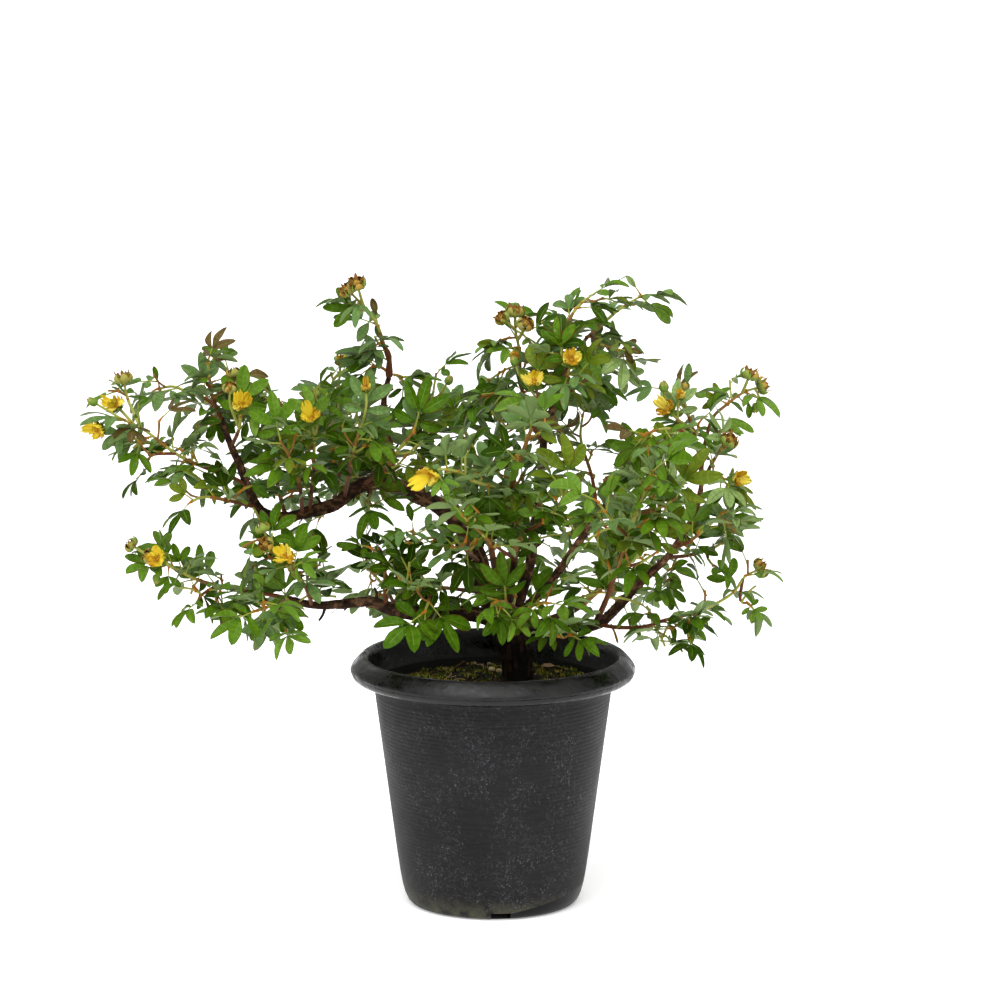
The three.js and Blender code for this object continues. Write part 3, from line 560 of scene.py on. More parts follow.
def principled(name, color, roughness, **more):
    material = bpy.data.materials.new(name)
    material.use_nodes = True
    values = {"Base Color": color, "Roughness": roughness}
    values.update((socket.replace("_", " "), value) for socket, value in more.items())
    graph = Graph(material)
    for socket, value in values.items():
        graph.feed(graph.shader[socket], value)
    return material


def fine_relief(material, scale, depth):
    """Adds a small uneven relief, with its noise's scale per metre and its depth in millimetres."""
    graph = Graph(material)
    bump = graph.nodes.new("ShaderNodeBump")
    bump.inputs["Strength"].default_value = 1
    bump.inputs["Distance"].default_value = depth * MM
    graph.feed(bump.inputs["Height"], graph.noise(scale, 3))
    graph.feed(graph.shader["Normal"], bump.outputs["Normal"])
    return material


def dull(name, color, roughness, scale=600, depth=0.3):
    return fine_relief(principled(name, color, roughness, Specular_IOR_Level=0.16), scale, depth)


def leaf_green(name, color):
    return fine_relief(principled(name, color, 0.42, Specular_IOR_Level=0.03 + 0.4 * color[1]), 420, 0.5)


# Leaf materials: greens from dark to pale with bronze for young tips, the same a shade lighter, and a leaf's parts
GREENS = {
    "leaf_deep": (0.020, 0.050, 0.0003),
    "leaf_dark": (0.038, 0.092, 0.0005),
    "leaf_mid": (0.061, 0.136, 0.003),
    "leaf_fresh": (0.088, 0.176, 0.013),
    "leaf_pale": (0.160, 0.238, 0.072),
    "leaf_blue": (0.086, 0.158, 0.042),
    "leaf_olive": (0.090, 0.130, 0.005),
    "leaf_bronze": (0.082, 0.054, 0.016),
}
LEAF_PARTS = {
    "leaf_rib": (0.092, 0.158, 0.014),
    "leaf_edge": (0.070, 0.044, 0.006),
    "leaf_under": (0.146, 0.214, 0.068),
    "leaf_stalk": (0.240, 0.270, 0.034),
    "stipule": (0.340, 0.130, 0.012),
}
LIGHTER_GREENS = {
    name + "_light": (1.25 * r + 0.004, 1.2 * g + 0.006, 1.2 * b + 0.001) for name, (r, g, b) in GREENS.items()
}
leaf_materials = [leaf_green(*row) for row in {**GREENS, **LIGHTER_GREENS, **LEAF_PARTS}.items()]
DEEP, DARK, MID, FRESH, PALE, BLUE, OLIVE, BRONZE = range(8)
LIGHTER = 8
RIB, EDGE, UNDER, STALK, STIPULE = range(16, 21)
# The next darker green of each
DARKER = {DARK: DEEP, MID: DARK, FRESH: MID, OLIVE: MID}

twig_materials = [
    dull("twig_old", (0.045, 0.020, 0.010), 0.8, 420, 0.6),
    dull("twig_red", (0.120, 0.040, 0.013), 0.6),
    dull("twig_young", (0.200, 0.098, 0.022), 0.55),
    dull("twig_green", (0.290, 0.300, 0.056), 0.55),
]
OLD, RED, YOUNG, GREEN = range(4)
head_materials = [
    dull("sepal_olive", (0.270, 0.255, 0.052), 0.6),
    dull("sepal_green", (0.190, 0.240, 0.040), 0.6),
    dull("sepal_brown", (0.190, 0.084, 0.012), 0.7),
    dull("seed_fluff", (0.350, 0.225, 0.038), 0.9),
    dull("calyx_green", (0.130, 0.215, 0.026), 0.6),
    dull("petal_dry", (0.560, 0.330, 0.035), 0.7),
]
SEPAL_OLIVE, SEPAL_GREEN, SEPAL_BROWN, FLUFF, CALYX, DRY = range(6)
petal_materials = [
    dull("petal_yellow", (0.600, 0.450, 0.020), 0.6),
    dull("petal_gold", (0.430, 0.250, 0.008), 0.6),
    dull("petal_pale", (0.710, 0.590, 0.080), 0.6),
    dull("anther", (0.360, 0.140, 0.010), 0.7),
]
YELLOW, GOLD, PALE_YELLOW, ANTHER = range(4)


# Leaves. Grids over a leaflet, in shares of its half width and of its length; veins are the narrow rows
VEINED = {
    "columns": (-1.0, -0.87, -0.45, -0.06, 0.06, 0.45, 0.87, 1.0),
    "rows": (0.0, 0.14, 0.27, 0.31, 0.44, 0.48, 0.61, 0.65, 0.78, 0.90, 1.0),
    "veins": (2, 4, 6),
}
PLAIN = {
    "columns": (-1.0, -0.82, -0.07, 0.07, 0.82, 1.0),
    "rows": (0.0, 0.18, 0.38, 0.58, 0.78, 0.93, 1.0),
    "veins": (),
}
VEIN_SWEEP = 0.11
WIDEST = 0.56
BLADE_THICK = 0.24


def leaflet_width(u):
    """Half the width at a share of the length: narrow at the foot, widest past the middle, round at the tip."""
    if u < WIDEST:
        return 0.1 + 0.9 * sin(pi / 2 * u / WIDEST) ** 1.1
    past = (u - WIDEST) / (1 - WIDEST)
    return 0.78 * sqrt(max(0, 1 - past * past)) + 0.22 * (1 - past) + 0.04


def add_leaflet(shape, matrix, root, angle, length, width, droop, tone, seed, grid):
    """One leaflet from its root on the stalk, folded along the rib, arched, with its edges turned down."""
    fold = spread(seed, 31, 0.10, 0.75)
    arch = spread(seed, 32, -0.05, 0.24)
    twist = spread(seed, 33, -0.6, 0.6)
    wave = spread(seed, 34, 0.2, 0.9)
    curl = spread(seed, 37, -1.8, 2.6)
    columns, rows = grid["columns"], grid["rows"]

    def place(share, v):
        u = share + VEIN_SWEEP * abs(v) * sin(pi * share)
        half = width / 2 * leaflet_width(u)
        side = half * v
        along = 0.4 + u * (length - 0.4)
        rise = fold * abs(side) - 0.35 * max(0, abs(v) - 0.8) * half
        rise += arch * length * sin(pi * u) * 0.6 - curl * u**3
        rise += twist * side * u + wave * 0.25 * sin(9 * u + 5 * v + seed)
        rise -= tan(droop) * along + (0.12 if abs(v) < 0.1 else 0)
        x, y = turned(along, side, angle)
        return matrix @ Vector((root + x, y, rise))

    top = [[place(share, v) for v in columns] for share in rows]
    brown = draw(seed, 35) < 0.45
    tipped = draw(seed, 36) < 0.35
    last = len(columns) - 2

    def slot_of(r, c):
        if c == last // 2:
            return RIB if rows[r] < 0.75 else tone
        if c in (0, last):
            return EDGE if brown or rows[r] > 0.75 and tipped else tone
        if r in grid["veins"] or noise.noise(Vector((0.55 * r, 0.8 * c, seed))) > 0.24:
            return tone + LIGHTER
        return DARKER.get(tone, tone) if rows[r] < 0.1 else tone

    add_blade(shape, top, BLADE_THICK, slot_of, UNDER)


def leaflets_of(leaf):
    """Each leaflet's side, -1, 0 or 1, its sizes, and where it leaves the stalk."""
    hub = PETIOLE_LENGTH * leaf["scale"]
    front = [(hand, LEAFLET, hub) for hand in ((0,) if leaf["leaflets"] == 1 else (-1, 0, 1))]
    if leaf["leaflets"] < 5:
        return front
    back = hub - PAIR["back"] * leaf["scale"]
    return [(-1, PAIR, back), *front, (1, PAIR, back)]


def add_leaf(shape, matrix, leaf, seed, tone, grid):
    """A whole leaf: its stalk, one, three or five leaflets, and often a sheath at its foot."""
    hub = PETIOLE_LENGTH * leaf["scale"]

    def add_part(radii, sides, slot, *places):
        add_tube(shape, Line([matrix @ Vector((x, 0, z)) for x, z in places]), radii, sides, 3, slot)

    add_part((0.5, 0.34), 4, STALK, (0, 0), (hub * 0.35, 0.25), (hub * 0.7, 0.2), (hub + 0.5, 0))
    for k, (hand, kind, root) in enumerate(leaflets_of(leaf)):
        angle = radians(hand * kind["spread"] + leaf["bend"] * 6)
        length = kind["length"] * leaf["scale"] * (END_LEAFLET if hand == 0 else 1)
        width = kind["width"] * leaf["scale"] * 0.88
        angle += radians(spread(seed, 41 + k, -7, 7))
        droop = leaf["droop"] + radians(spread(seed, 51 + k, -9, 9))
        add_leaflet(shape, matrix, root, angle, length, width, droop, tone, seed + 0.17 * k, grid)
    if draw(seed, 61) < 0.6:
        add_part((1.0, 0.2875), 5, STIPULE, (-1.0, -0.1), (0.5, 0.25), (1.9, 0.4), (3.2, 0.75))


def frame_at(rib, face, place):
    """A leaf's own frame: +X along its rib, and +Z as near to its face as the rib allows."""
    face = (face - face.dot(rib) * rib).normalized()
    matrix = Matrix((rib, face.cross(rib), face)).transposed().to_4x4()
    matrix.translation = place
    return matrix


def leaf_matrix(line, t, turn, lean, seed):
    along, side, _ = axes = line.axes(t)
    outward = around(axes, turn)
    rib = (cos(lean) * along + sin(lean) * outward).normalized()
    face = 0.7 * UP - 0.25 * outward + 0.5 * (draw(seed, 3) - 0.25) * TO_VIEWER
    face += 0.6 * (draw(seed, 4) - 0.5) * side
    return frame_at(rib, face, line.at(t))


def leaf_place(stem, k, attempt):
    """Where leaf number k of a stem goes, how it is turned, and its sizes, as the solids have it."""
    seed = stem["seed"] + k
    last = k == stem["leaves"] - 1 and not stem.get("end")
    t = 0.985 if last else 0.22 + (0.74 * (k + 0.35 + 0.5 * draw(seed, 1))) / stem["leaves"]
    flat = 2 * k + stem["seed"] + attempt + 0.5
    turn = pi / 2 + (flat * 2 * pi) / stem["sides"] + 0.6 * (draw(seed, 9) - 0.5)
    lean = radians((12 if last else 38) + 26 * draw(seed, 2) + 3 * attempt)
    leaf = {
        "scale": stem["size"] * (0.84 + 0.3 * draw(seed, 5)) * (1 - 0.04 * attempt),
        "droop": radians(4 + 22 * draw(seed, 6)),
        "leaflets": 5 if draw(seed, 7) < 0.5 else 3,
        "bend": draw(seed, 8) - 0.5,
    }
    return leaf_matrix(stem["line"], t, turn, lean, seed), leaf


def on_leaf(matrix, leaf, root, angle, along):
    """A point on a leaflet's rib."""
    return matrix @ Vector((root + along * cos(angle), along * sin(angle), -tan(leaf["droop"]) * along))


def leaf_marks(matrix, leaf):
    """Points over a leaf's blades, each a little less than half a leaflet wide."""
    return [
        on_leaf(matrix, leaf, root, radians(hand * kind["spread"]), share * kind["length"] * leaf["scale"])
        for hand, kind, root in leaflets_of(leaf) for share in (0.3, 0.6, 0.9)
    ]


def vertex_tree(places):
    tree = KDTree(len(places))
    for k, place in enumerate(places):
        tree.insert(place, k)
    tree.balance()
    return tree


def spray_stems(rows, number):
    stems = []
    for k, row in enumerate(rows):
        on_limb = isinstance(row["on"], str)
        parent = LIMBS[row["on"]] if on_limb else stems[row["on"]]
        foot = row.get("radius") or (TWIG_RADIUS if on_limb else 0.8 * TWIG_RADIUS)
        stem = {"size": 1, "seed": 10 * number + 3 * k + 1, **row, "foot": foot, "sides": 5 if foot > 2 else 3}
        stem["line"] = Line([parent["line"].at(row["at"]), *row["route"]])
        stem["on_limb"] = on_limb
        stems.append(stem)
    return stems


def built_leaves(stems, node):
    """The leaves that the solids hold, found by the tips of their middle leaflets among the node's corners."""
    tree = vertex_tree([vertex.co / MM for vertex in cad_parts[node].data.vertices])
    found = []
    for number, stem in enumerate(stems):
        for k in range(stem["leaves"]):
            for attempt in range(LEAF_TRIES):
                matrix, leaf = leaf_place(stem, k, attempt)
                hub, length = PETIOLE_LENGTH * leaf["scale"], LEAFLET["length"] * leaf["scale"] * END_LEAFLET
                tip = on_leaf(matrix, leaf, hub, radians(leaf["bend"] * 6), length)
                if tree.find(tip)[2] < 0.03:
                    found.append((matrix, leaf, 100 * number + 10 * k + attempt))
                    break
    return found


def tone_for(place, seed):
    """Greens by place: painted shade deep in the bush and low by the pot, paler on its right side, now and then
    bronze on top.
    """
    x, y, z = place
    share = draw(seed, 21)
    if z > 270 and x < -135:
        if x > -168 and z > 284:
            return BRONZE if share < 0.75 else DARK
        return pick((DARK, MID, MID, BLUE), share)
    if z > 262 and share < 0.07:
        return BRONZE
    # Painted shade: the darkest greens low by the pot, under the bush
    if z < 200 and hypot(x, y) < 100:
        return pick((DEEP, DEEP, DARK) if x < -10 else (DARK, MID, MID, FRESH), share)
    if z < 200 and x < -100:
        return pick((MID, FRESH, FRESH, BLUE), share)
    if z > 290 and x < -40:
        return pick((MID, BLUE, BLUE), share)
    # Painted shade: darker greens in the bush's core
    if Vector(((x + 10) * 0.55, y, z - 235)).length < 42:
        return pick((DEEP, DARK, MID, MID, OLIVE), share)
    if z < 190:
        return pick((DEEP, DARK, MID, MID, FRESH, FRESH), share)
    if x > 55:
        return pick((MID, MID, FRESH, FRESH, PALE, PALE, BLUE, OLIVE), share)
    return pick((DEEP, DARK, MID, MID, FRESH, BLUE, BLUE, OLIVE), share)


# Twigs, heads, buds and flowers
def twig_tone(stem, t):
    if stem.get("end") and not stem["on_limb"]:
        return YOUNG if stem["end"] == "leaf" and stem["seed"] % 2 else GREEN
    if blend((stem["foot"], TWIG_TIP_RADIUS), t) > 1.9:
        return OLD
    if t < 0.36:
        return RED
    return YOUNG if t < 0.5 or noise.noise(Vector((3.1 * t, stem["seed"], 0.5))) > 0.16 else GREEN


def add_stem(shape, stem):
    tip, thinner = (1.0, 0.95) if stem["foot"] > 2 else (0.62, 0.86)
    foot = stem["foot"] * thinner
    steps = max(4, round(stem["line"].length() / 3))

    def radius_at(t):
        joint = 0.12 * max(0, sin(5 * steps * t / 4 + stem["seed"])) ** 6
        bark = 0.75 * max(0, 1 - 2 * t) ** 0.5 * (1 + 0.4 * sin(31 * t)) if stem.get("peeling") else 0
        return foot + (tip - foot) * t + joint + bark

    add_tube(shape, stem["line"], radius_at, 7, steps, lambda t: twig_tone(stem, t))


def end_matrix(stem):
    along = stem["line"].axes(1)[0]
    if stem["end"] == "bloom":
        along = along + (0.15 + 0.6 * draw(stem["seed"], 11)) * TO_VIEWER
    matrix = UP.rotation_difference(along.normalized()).to_matrix().to_4x4()
    matrix.translation = stem["line"].at(1)
    return matrix


def add_sepal(shape, matrix, angle, path, width, tones, seed, margin=None):
    """One pointed lobe along a path of four radii and heights; tones are its colours from foot to tip."""
    rows = 7

    def place(r, v):
        u = r / (rows - 1)
        w = 1 - u
        radius, height = (
            w**3 * a + 3 * w * w * u * b + 3 * w * u * u * c + u**3 * d for a, b, c, d in zip(*path)
        )
        turn = angle + width * (1.04 - u**2.2) * (0.75 + 0.5 * sin(pi * u)) * v
        bulge = radius * (1 + 0.05 * (1 - v * v)) + 0.16 * sin(7 * u + 3 * v + seed)
        return matrix @ Vector((*polar(bulge, turn), height))

    def slot_of(r, c):
        patch = noise.noise(Vector((0.9 * r, 1.3 * c, seed)))
        if margin is not None and (r > 2 and c in (0, 3) or patch > 0.30):
            return margin
        return tones[min(len(tones) - 1, r * len(tones) // (rows - 1))]

    top = [[place(r, v) for v in (1.0, 0.5, 0.0, -0.5, -1.0)] for r in range(rows)]
    add_blade(shape, top, 0.3, slot_of, tones[-1])


def add_ball(shape, matrix, radius, height, slot, squash=1.0, rough=0.0):
    high = radius * squash

    def place(tilt, turn, r):
        reach = radius * cos(tilt) * (1 + rough * sin(5 * turn + 3 * r))
        return matrix @ Vector((*polar(reach, turn), height + high * sin(tilt)))

    ends = [matrix @ Vector((0, 0, height + lift)) for lift in (-high, high)]
    add_globe(shape, 5, 10, place, ends, slot)


def add_head(shape, matrix, seed):
    """A spent head: dry sepals closed to a cup, narrow bracts between them, and withered petals or fluff."""
    size = spread(seed, 1, 0.78, 1.02)
    body = SEPAL_GREEN if draw(seed, 12) < 0.35 else SEPAL_OLIVE
    withered = draw(seed, 13) < 0.28
    for k in range(5):
        top = size * spread(seed, 70 + k, 4.6, 5.8)
        angle = seed + 2 * pi * k / 5 + spread(seed, 85 + k, -0.15, 0.15)
        out = spread(seed, 75 + k, 0.2, 1.8) + (1.8 if withered else 0)
        path = ((0.9 * size, -0.9), (6.3 * size, -1.3), (6.4 * size, 4.4 * size), (out * size, top))
        ripe = (body,) * 3 + (FLUFF, FLUFF, SEPAL_BROWN)
        tones = (body,) * 5 + (SEPAL_BROWN,) if draw(seed, 20 + k) < 0.6 else ripe
        add_sepal(shape, matrix, angle, path, 0.56, tones, seed + k, SEPAL_BROWN if k == 1 else None)
        tip = ((3.6 + spread(seed, 65 + k, -1.2, 1.4)) * size, 4.8 * size)
        bract = ((0.9 * size, -1.1), (5.6 * size, -1.7), (6.1 * size, 1.8), tip)
        add_sepal(shape, matrix, angle + pi / 5, bract, 0.15, (SEPAL_GREEN, SEPAL_GREEN, CALYX), seed + 9 * k)
        if withered:
            tip = (spread(seed, 60 + k, 2.6, 5.6) * size, 6.4 * size)
            flat = ((1.0, 0.8), (2.6 * size, 3.0), (4.6 * size, 4.4 * size), tip)
            add_sepal(shape, matrix, angle + 0.5, flat, 0.34, (DRY, FLUFF, SEPAL_BROWN), seed + 5 * k)
    add_ball(shape, matrix, 2.3 * size, 1.8 * size, FLUFF, 0.95, 0.14)
    for k in range(5):
        lean = 0.1 + 0.6 * draw(seed, 60 + k)
        way = Vector((*polar(sin(lean), 2.4 * k), cos(lean)))
        line = Line([matrix @ (Vector((0, 0, 2.0 * size)) + reach * size * way) for reach in (1.6, 2.6, 3.7)])
        add_tube(shape, line, (0.2, 0.1), 3, 2, (SEPAL_BROWN, FLUFF, DRY)[k % 3])


def add_bud(shape, matrix, seed):
    size = spread(seed, 1, 0.8, 1.1)
    add_ball(shape, matrix, 2.0 * size, 2.4 * size, SEPAL_GREEN, 1.25, 0.05)
    path = ((0.6, -0.6), (3.2 * size, -0.3), (2.6 * size, 4.0 * size), (0.3, 5.6 * size))
    for k in range(5):
        add_sepal(shape, matrix, seed + 2 * pi * k / 5, path, 0.6, (CALYX, CALYX, SEPAL_OLIVE), seed + k)


def add_calyx(shape, matrix, seed, size):
    for k in range(10):
        length, width = ((6.2, 0.42), (4.8, 0.24))[k % 2]
        reach = size * length
        path = ((0.6, -1.0), (0.4 * reach, -1.1), (0.75 * reach, 0.2), (reach, 0.46 * reach - 0.6))
        add_sepal(shape, matrix, seed + pi * k / 5, path, width, (CALYX,), seed + k)


def add_petal(shape, matrix, seed, k, size, withered):
    """Petal number k: ruffled, at its own slope, with painted shade in its folds and a painted highlight on their
    crests.
    """
    rows, columns = 11, 13
    long = size * BLOOM_RADIUS * (0.64 + 0.24 * draw(seed, k)) * (0.85 if withered else 1)
    angle = seed + 2 * pi * k / 5 + pi / 5 + spread(seed, 25 + k, -0.2, 0.2)
    slope = tan(radians(BLOOM_CUP + spread(seed, 30 + k, -22, 30)))
    ruffle = spread(seed, 40 + k, 0.8, 1.8)
    folds = spread(seed, 60 + k, 6.5, 10.5)
    hook = spread(seed, 45 + k, -2.2, 2.8)
    wide = spread(seed, 55 + k, 0.50, 0.66)
    fresh = pick((YELLOW, YELLOW, PALE_YELLOW), draw(seed, 50 + k))
    main = (PALE_YELLOW if k % 2 else GOLD) if withered else fresh

    def fold_at(r, c):
        return sin(folds * (1 - 2 * c / (columns - 1)) + 2.1 * r / (rows - 1) + seed + k)

    def place(r, c):
        u, v = r / (rows - 1), 1 - 2 * c / (columns - 1)
        half = wide * long * (0.14 + 0.86 * sin(pi * min(1, 0.06 + 0.76 * u)) ** 0.9)
        ragged = 0.26 * noise.noise(Vector((3.4 * v, seed, 3.1 * k)))
        notch = 1 - (0.14 * (1 - abs(v)) ** 2 + 0.18 * v * v + ragged) * u**3
        along = 0.7 + (long - 0.7) * u * notch
        fold = fold_at(r, c)
        rise = 0.55 + slope * along + 0.12 * k + 1.2 * u * v * v + ruffle * u**1.4 * fold
        rise += 1.8 * u * noise.noise(Vector((0.5 * along, 0.6 * half * v, seed + 7 * k))) - hook * u**3
        side = half * v * (1 - 0.14 * u * fold * fold)
        return matrix @ Vector((*turned(along, side, angle), rise))

    def slot_of(r, c):
        fold, patch = fold_at(r, c), noise.noise(Vector((0.5 * r, 0.5 * c, seed + k)))
        if withered and patch + 0.03 * r > 0.26:
            return ANTHER
        # Gold at the foot, in patches and as painted shade in the folds; pale yellow as a painted highlight on the
        # crests
        if r < 2 or fold < -0.55 or patch > 0.36:
            return GOLD
        return PALE_YELLOW if fold > 0.7 and r > 4 else main

    top = [[place(r, c) for c in range(columns)] for r in range(rows)]
    add_blade(shape, top, 0.18, slot_of, GOLD if k == 2 else main)


def add_petals(shape, matrix, seed, size, withered):
    """Five petals and their stamens."""
    for k in range(5):
        add_petal(shape, matrix, seed, k, size, withered)
    add_ball(shape, matrix, 1.4 * size, 1.4, GOLD, 0.8, 0.1)
    for k in range(14):
        turn = 2.4 * k
        reach = size * spread(seed, 80 + k, 1.0, 2.4)
        foot = Vector((*polar(0.8, turn), 1.2))
        tip = Vector((*polar(reach, turn), spread(seed, 110 + k, 2.0, 3.4) + 0.3 * reach))
        line = Line([matrix @ foot, matrix @ (0.5 * (foot + tip) + Vector((0, 0, 0.4))), matrix @ tip])
        add_tube(shape, line, (0.11, 0.11), 3, 2, GOLD)
        add_ball(shape, matrix @ Matrix.Translation(tip), 0.36, 0.1, ANTHER, 0.9)


# Where small leaves may go. The foliage's outline in the photograph's frame of 1000 pixels, and its openings with
# their radius; small leaves keep to these.
OUTLINE = points(
    "76 436, 88 398, 108 372, 128 364, 142 380, 152 364, 168 372, 186 370, 200 352, 208 334, 234 346, "
    "236 362, 250 368, 266 382, 284 396, 302 382, 314 366, 338 352, 350 340, 376 344, 368 322, 346 322, "
    "324 308, 322 296, 338 286, 336 274, 352 268, 364 282, 376 294, 386 326, 396 360, 402 380, 424 364, "
    "440 358, 464 382, 486 394, 476 374, 472 346, 496 342, 498 312, 500 296, 522 296, 530 316, 540 304, "
    "566 286, 600 288, 636 294, 624 272, 644 286, 670 290, 680 324, 652 314, 636 308, 624 322, 644 350, "
    "654 392, 640 414, 616 404, 606 428, 632 424, 652 406, 660 380, 676 364, 696 364, 698 392, 728 386, "
    "738 362, 762 366, 774 384, 770 404, 752 408, 750 444, 724 454, 718 462, 758 466, 758 500, 764 520, "
    "744 538, 746 552, 776 556, 776 578, 756 588, 772 596, 768 632, 748 628, 732 606, 712 618, 716 648, "
    "706 662, 690 662, 664 657, 640 646, 620 634, 596 640, 590 656, 560 656, 470 640, 430 662, 398 664, "
    "380 622, 356 622, 334 632, 314 614, 302 644, 284 656, 258 652, 226 636, 198 618, 176 596, 176 580, "
    "156 582, 134 586, 118 556, 122 532, 168 528, 180 544, 206 542, 222 568, 236 546, 250 504, 276 508, "
    "300 520, 328 534, 328 560, 352 586, 372 566, 348 556, 346 536, 362 532, 372 500, 320 518, 254 518, "
    "226 514, 176 506, 170 484, 150 494, 128 472, 102 454, 96 444"
)
OPENINGS = points(
    "180 420 6, 168 420 7, 152 412 9, 184 436 8, 158 462 8, 234 560 9, 588 437 9, 624 436 7, 362 618 8, "
    "737 562 8, 362 338 8, 196 456 7, 262 470 8, 272 412 7, 322 448 7, 398 448 6, 350 402 6, 384 376 8, "
    "412 398 6, 386 518 13, 414 510 10, 360 520 9, 432 496 8, 344 562 12, 360 580 14, 437 562 9, 537 562 9, "
    "587 560 7, 437 512 8, 462 588 6, 587 588 8, 738 581 11, 588 462 8, 736 462 8, 586 487 8, 585 312 8, "
    "392 566 8, 448 560 8, 428 536 7, 468 384 9, 492 432 6, 512 352 8, 536 336 6, 604 436 9, 600 466 9, "
    "572 470 7, 552 538 7, 562 498 6, 498 562 8, 526 592 9, 560 604 8, 600 600 14, 622 588 9, 634 606 7, "
    "660 606 6, 716 480 8, 724 420 8, 700 404 9, 716 588 13, 730 572 9, 694 600 7, 636 560 6, 700 540 8, "
    "676 630 7, 256 612 7, 228 582 7, 222 604 6, 290 590 6, 316 590 6, 300 552 6, 112 428 6, 166 430 6, "
    "186 492 8, 164 586 10, 236 640 9, 356 330 8, 690 586 8, 740 594 7, 704 578 7"
)
# The shares of the limbs that the photograph shows bare, and how many pixels to each side stay clear
BARE_LIMBS = [
    ("left_up", 0.14, 0.32, 3), ("left_up", 0.44, 1.0, 5), ("left_low", 0.3, 0.85, 5), ("spire", 0.7, 1.0, 5),
    ("right_main", 0.4, 0.95, 4), ("right_up", 0.2, 0.7, 4), ("riser", 0.3, 1.0, 4),
]
# The pixels that stay clear round a flower and round a head
CLEAR_ROUND = {"bloom": 15, "head": 11}
CAD_LOW, CAD_HIGH = (Vector(corner) / MM for corner in cad_box)


def outline_crossings():
    """For each row of pixels, where it crosses the outline."""
    crossings = {}
    for (u, v), (next_u, next_v) in zip(OUTLINE, OUTLINE[1:] + OUTLINE[:1]):
        for row in range(int(min(v, next_v)), int(max(v, next_v))):
            crossings.setdefault(row, []).append(u + (next_u - u) * (row + 0.5 - v) / (next_v - v))
    return crossings


def seen_at(place):
    """The pixel of the photograph's frame where a point shows."""
    ahead, above = place.y - CAMERA_AT[1], place.z - CAMERA_AT[2]
    tilt = radians(CAMERA_PITCH)
    depth = ahead * cos(tilt) - above * sin(tilt)
    rise = ahead * sin(tilt) + above * cos(tilt)
    focus = CAMERA_LENS / CAMERA_SENSOR * FRAME
    return FRAME / 2 + focus * (place.x - CAMERA_AT[0]) / depth, FRAME / 2 - focus * rise / depth


class Taken:
    """Remembers where blades and wood are, in cells a few millimetres wide, and what small leaves don't hide."""

    CELL = 3.4

    def __init__(self):
        self.cells = set()
        self.shown = []
        self.crossings = outline_crossings()

    def cell(self, place):
        return tuple(floor(c / self.CELL) for c in place)

    def mark(self, places):
        self.cells.update(self.cell(p) for p in places)

    def mark_line(self, line, steps):
        self.mark(line.at(k / max(1, steps)) for k in range(steps + 1))

    def show(self, place, radius):
        self.shown.append((*seen_at(place), radius, place.y))

    def allows(self, place):
        if not all(low + 1 < c < high - 1 for c, low, high in zip(place, CAD_LOW, CAD_HIGH)):
            return False
        if place.z < POT_HEIGHT + 3 and hypot(place.x, place.y) < RIM_RADIUS + 5:
            return False
        u, v = seen_at(place)
        if sum(crossing < u for crossing in self.crossings.get(int(v), ())) % 2 == 0:
            return False
        if any(hypot(u - a, v - b) < radius for a, b, radius in OPENINGS):
            return False
        return not any(place.y < y + 4 and hypot(u - a, v - b) < radius for a, b, radius, y in self.shown)

    def claim(self, matrix, leaf):
        marks = leaf_marks(matrix, leaf)
        if any(self.cell(p) in self.cells for p in marks) or not all(self.allows(p) for p in marks):
            return False
        self.mark(marks)
        return True


# Small leaves: their spacing along a stem in millimetres, their scale, and the spacing of short side shoots
FILL_STEP = 9
FILL_SCALE = (0.70, 1.08)
SHOOT_STEP = 19
TUFT_SCALE = (0.80, 1.12)
MM_PER_PIXEL = 0.5355
# Leaves that the photograph shows face on: spray, stem, share of its length, leaflets, and pixels across and down
# to the middle tip
FACING = [
    ("top_right", 0, 1.0, 1, (-14, -22)), ("top_right", 0, 0.99, 1, (31, 27)),
    ("top_right", 1, 0.95, 3, (27, 4)),
    ("spire_tip", 0, 0.74, 3, (-44, -9)), ("spire_tip", 0, 0.58, 1, (-5, -29)),
    ("spire_tip", 0, 0.33, 1, (-11, -24)),
    ("spire_tip", 0, 0.16, 3, (-38, -14)), ("hang_mid", 0, 0.97, 1, (-3, -29)),
    ("hang_mid", 0, 0.9, 3, (26, -12)),
    ("left_tip", 0, 0.93, 3, (-30, 24)), ("left_second", 0, 0.95, 1, (-5, -24)),
    ("centre_heads", 0, 0.7, 1, (-17, -28)), ("centre_heads", 0, 0.6, 1, (-42, -8)),
    ("right_heads", 0, 0.85, 1, (5, 27)), ("right_heads", 0, 0.62, 3, (-26, -14)),
    ("riser_heads", 0, 0.85, 1, (6, -33)), ("left_nodding", 1, 0.5, 1, (-29, -2)),
    ("left_low_tip", 0, 0.62, 3, (-9, -30)), ("left_low_tip", 0, 0.5, 1, (4, -35)),
    ("left_low_tip", 0, 0.74, 3, (-2, 28)), ("right_low", 0, 0.78, 3, (-20, -30)),
    ("left_skirt", 0, 0.8, 3, (-8, 38)),
    ("right_shoulder", 0, 0.9, 3, (30, 22)), ("left_mid", 0, 0.9, 3, (-24, -18)),
    ("right_low", 1, 0.9, 5, (16, 18)),
    ("left_second", 0, 0.2, 3, (6, 34)),
]
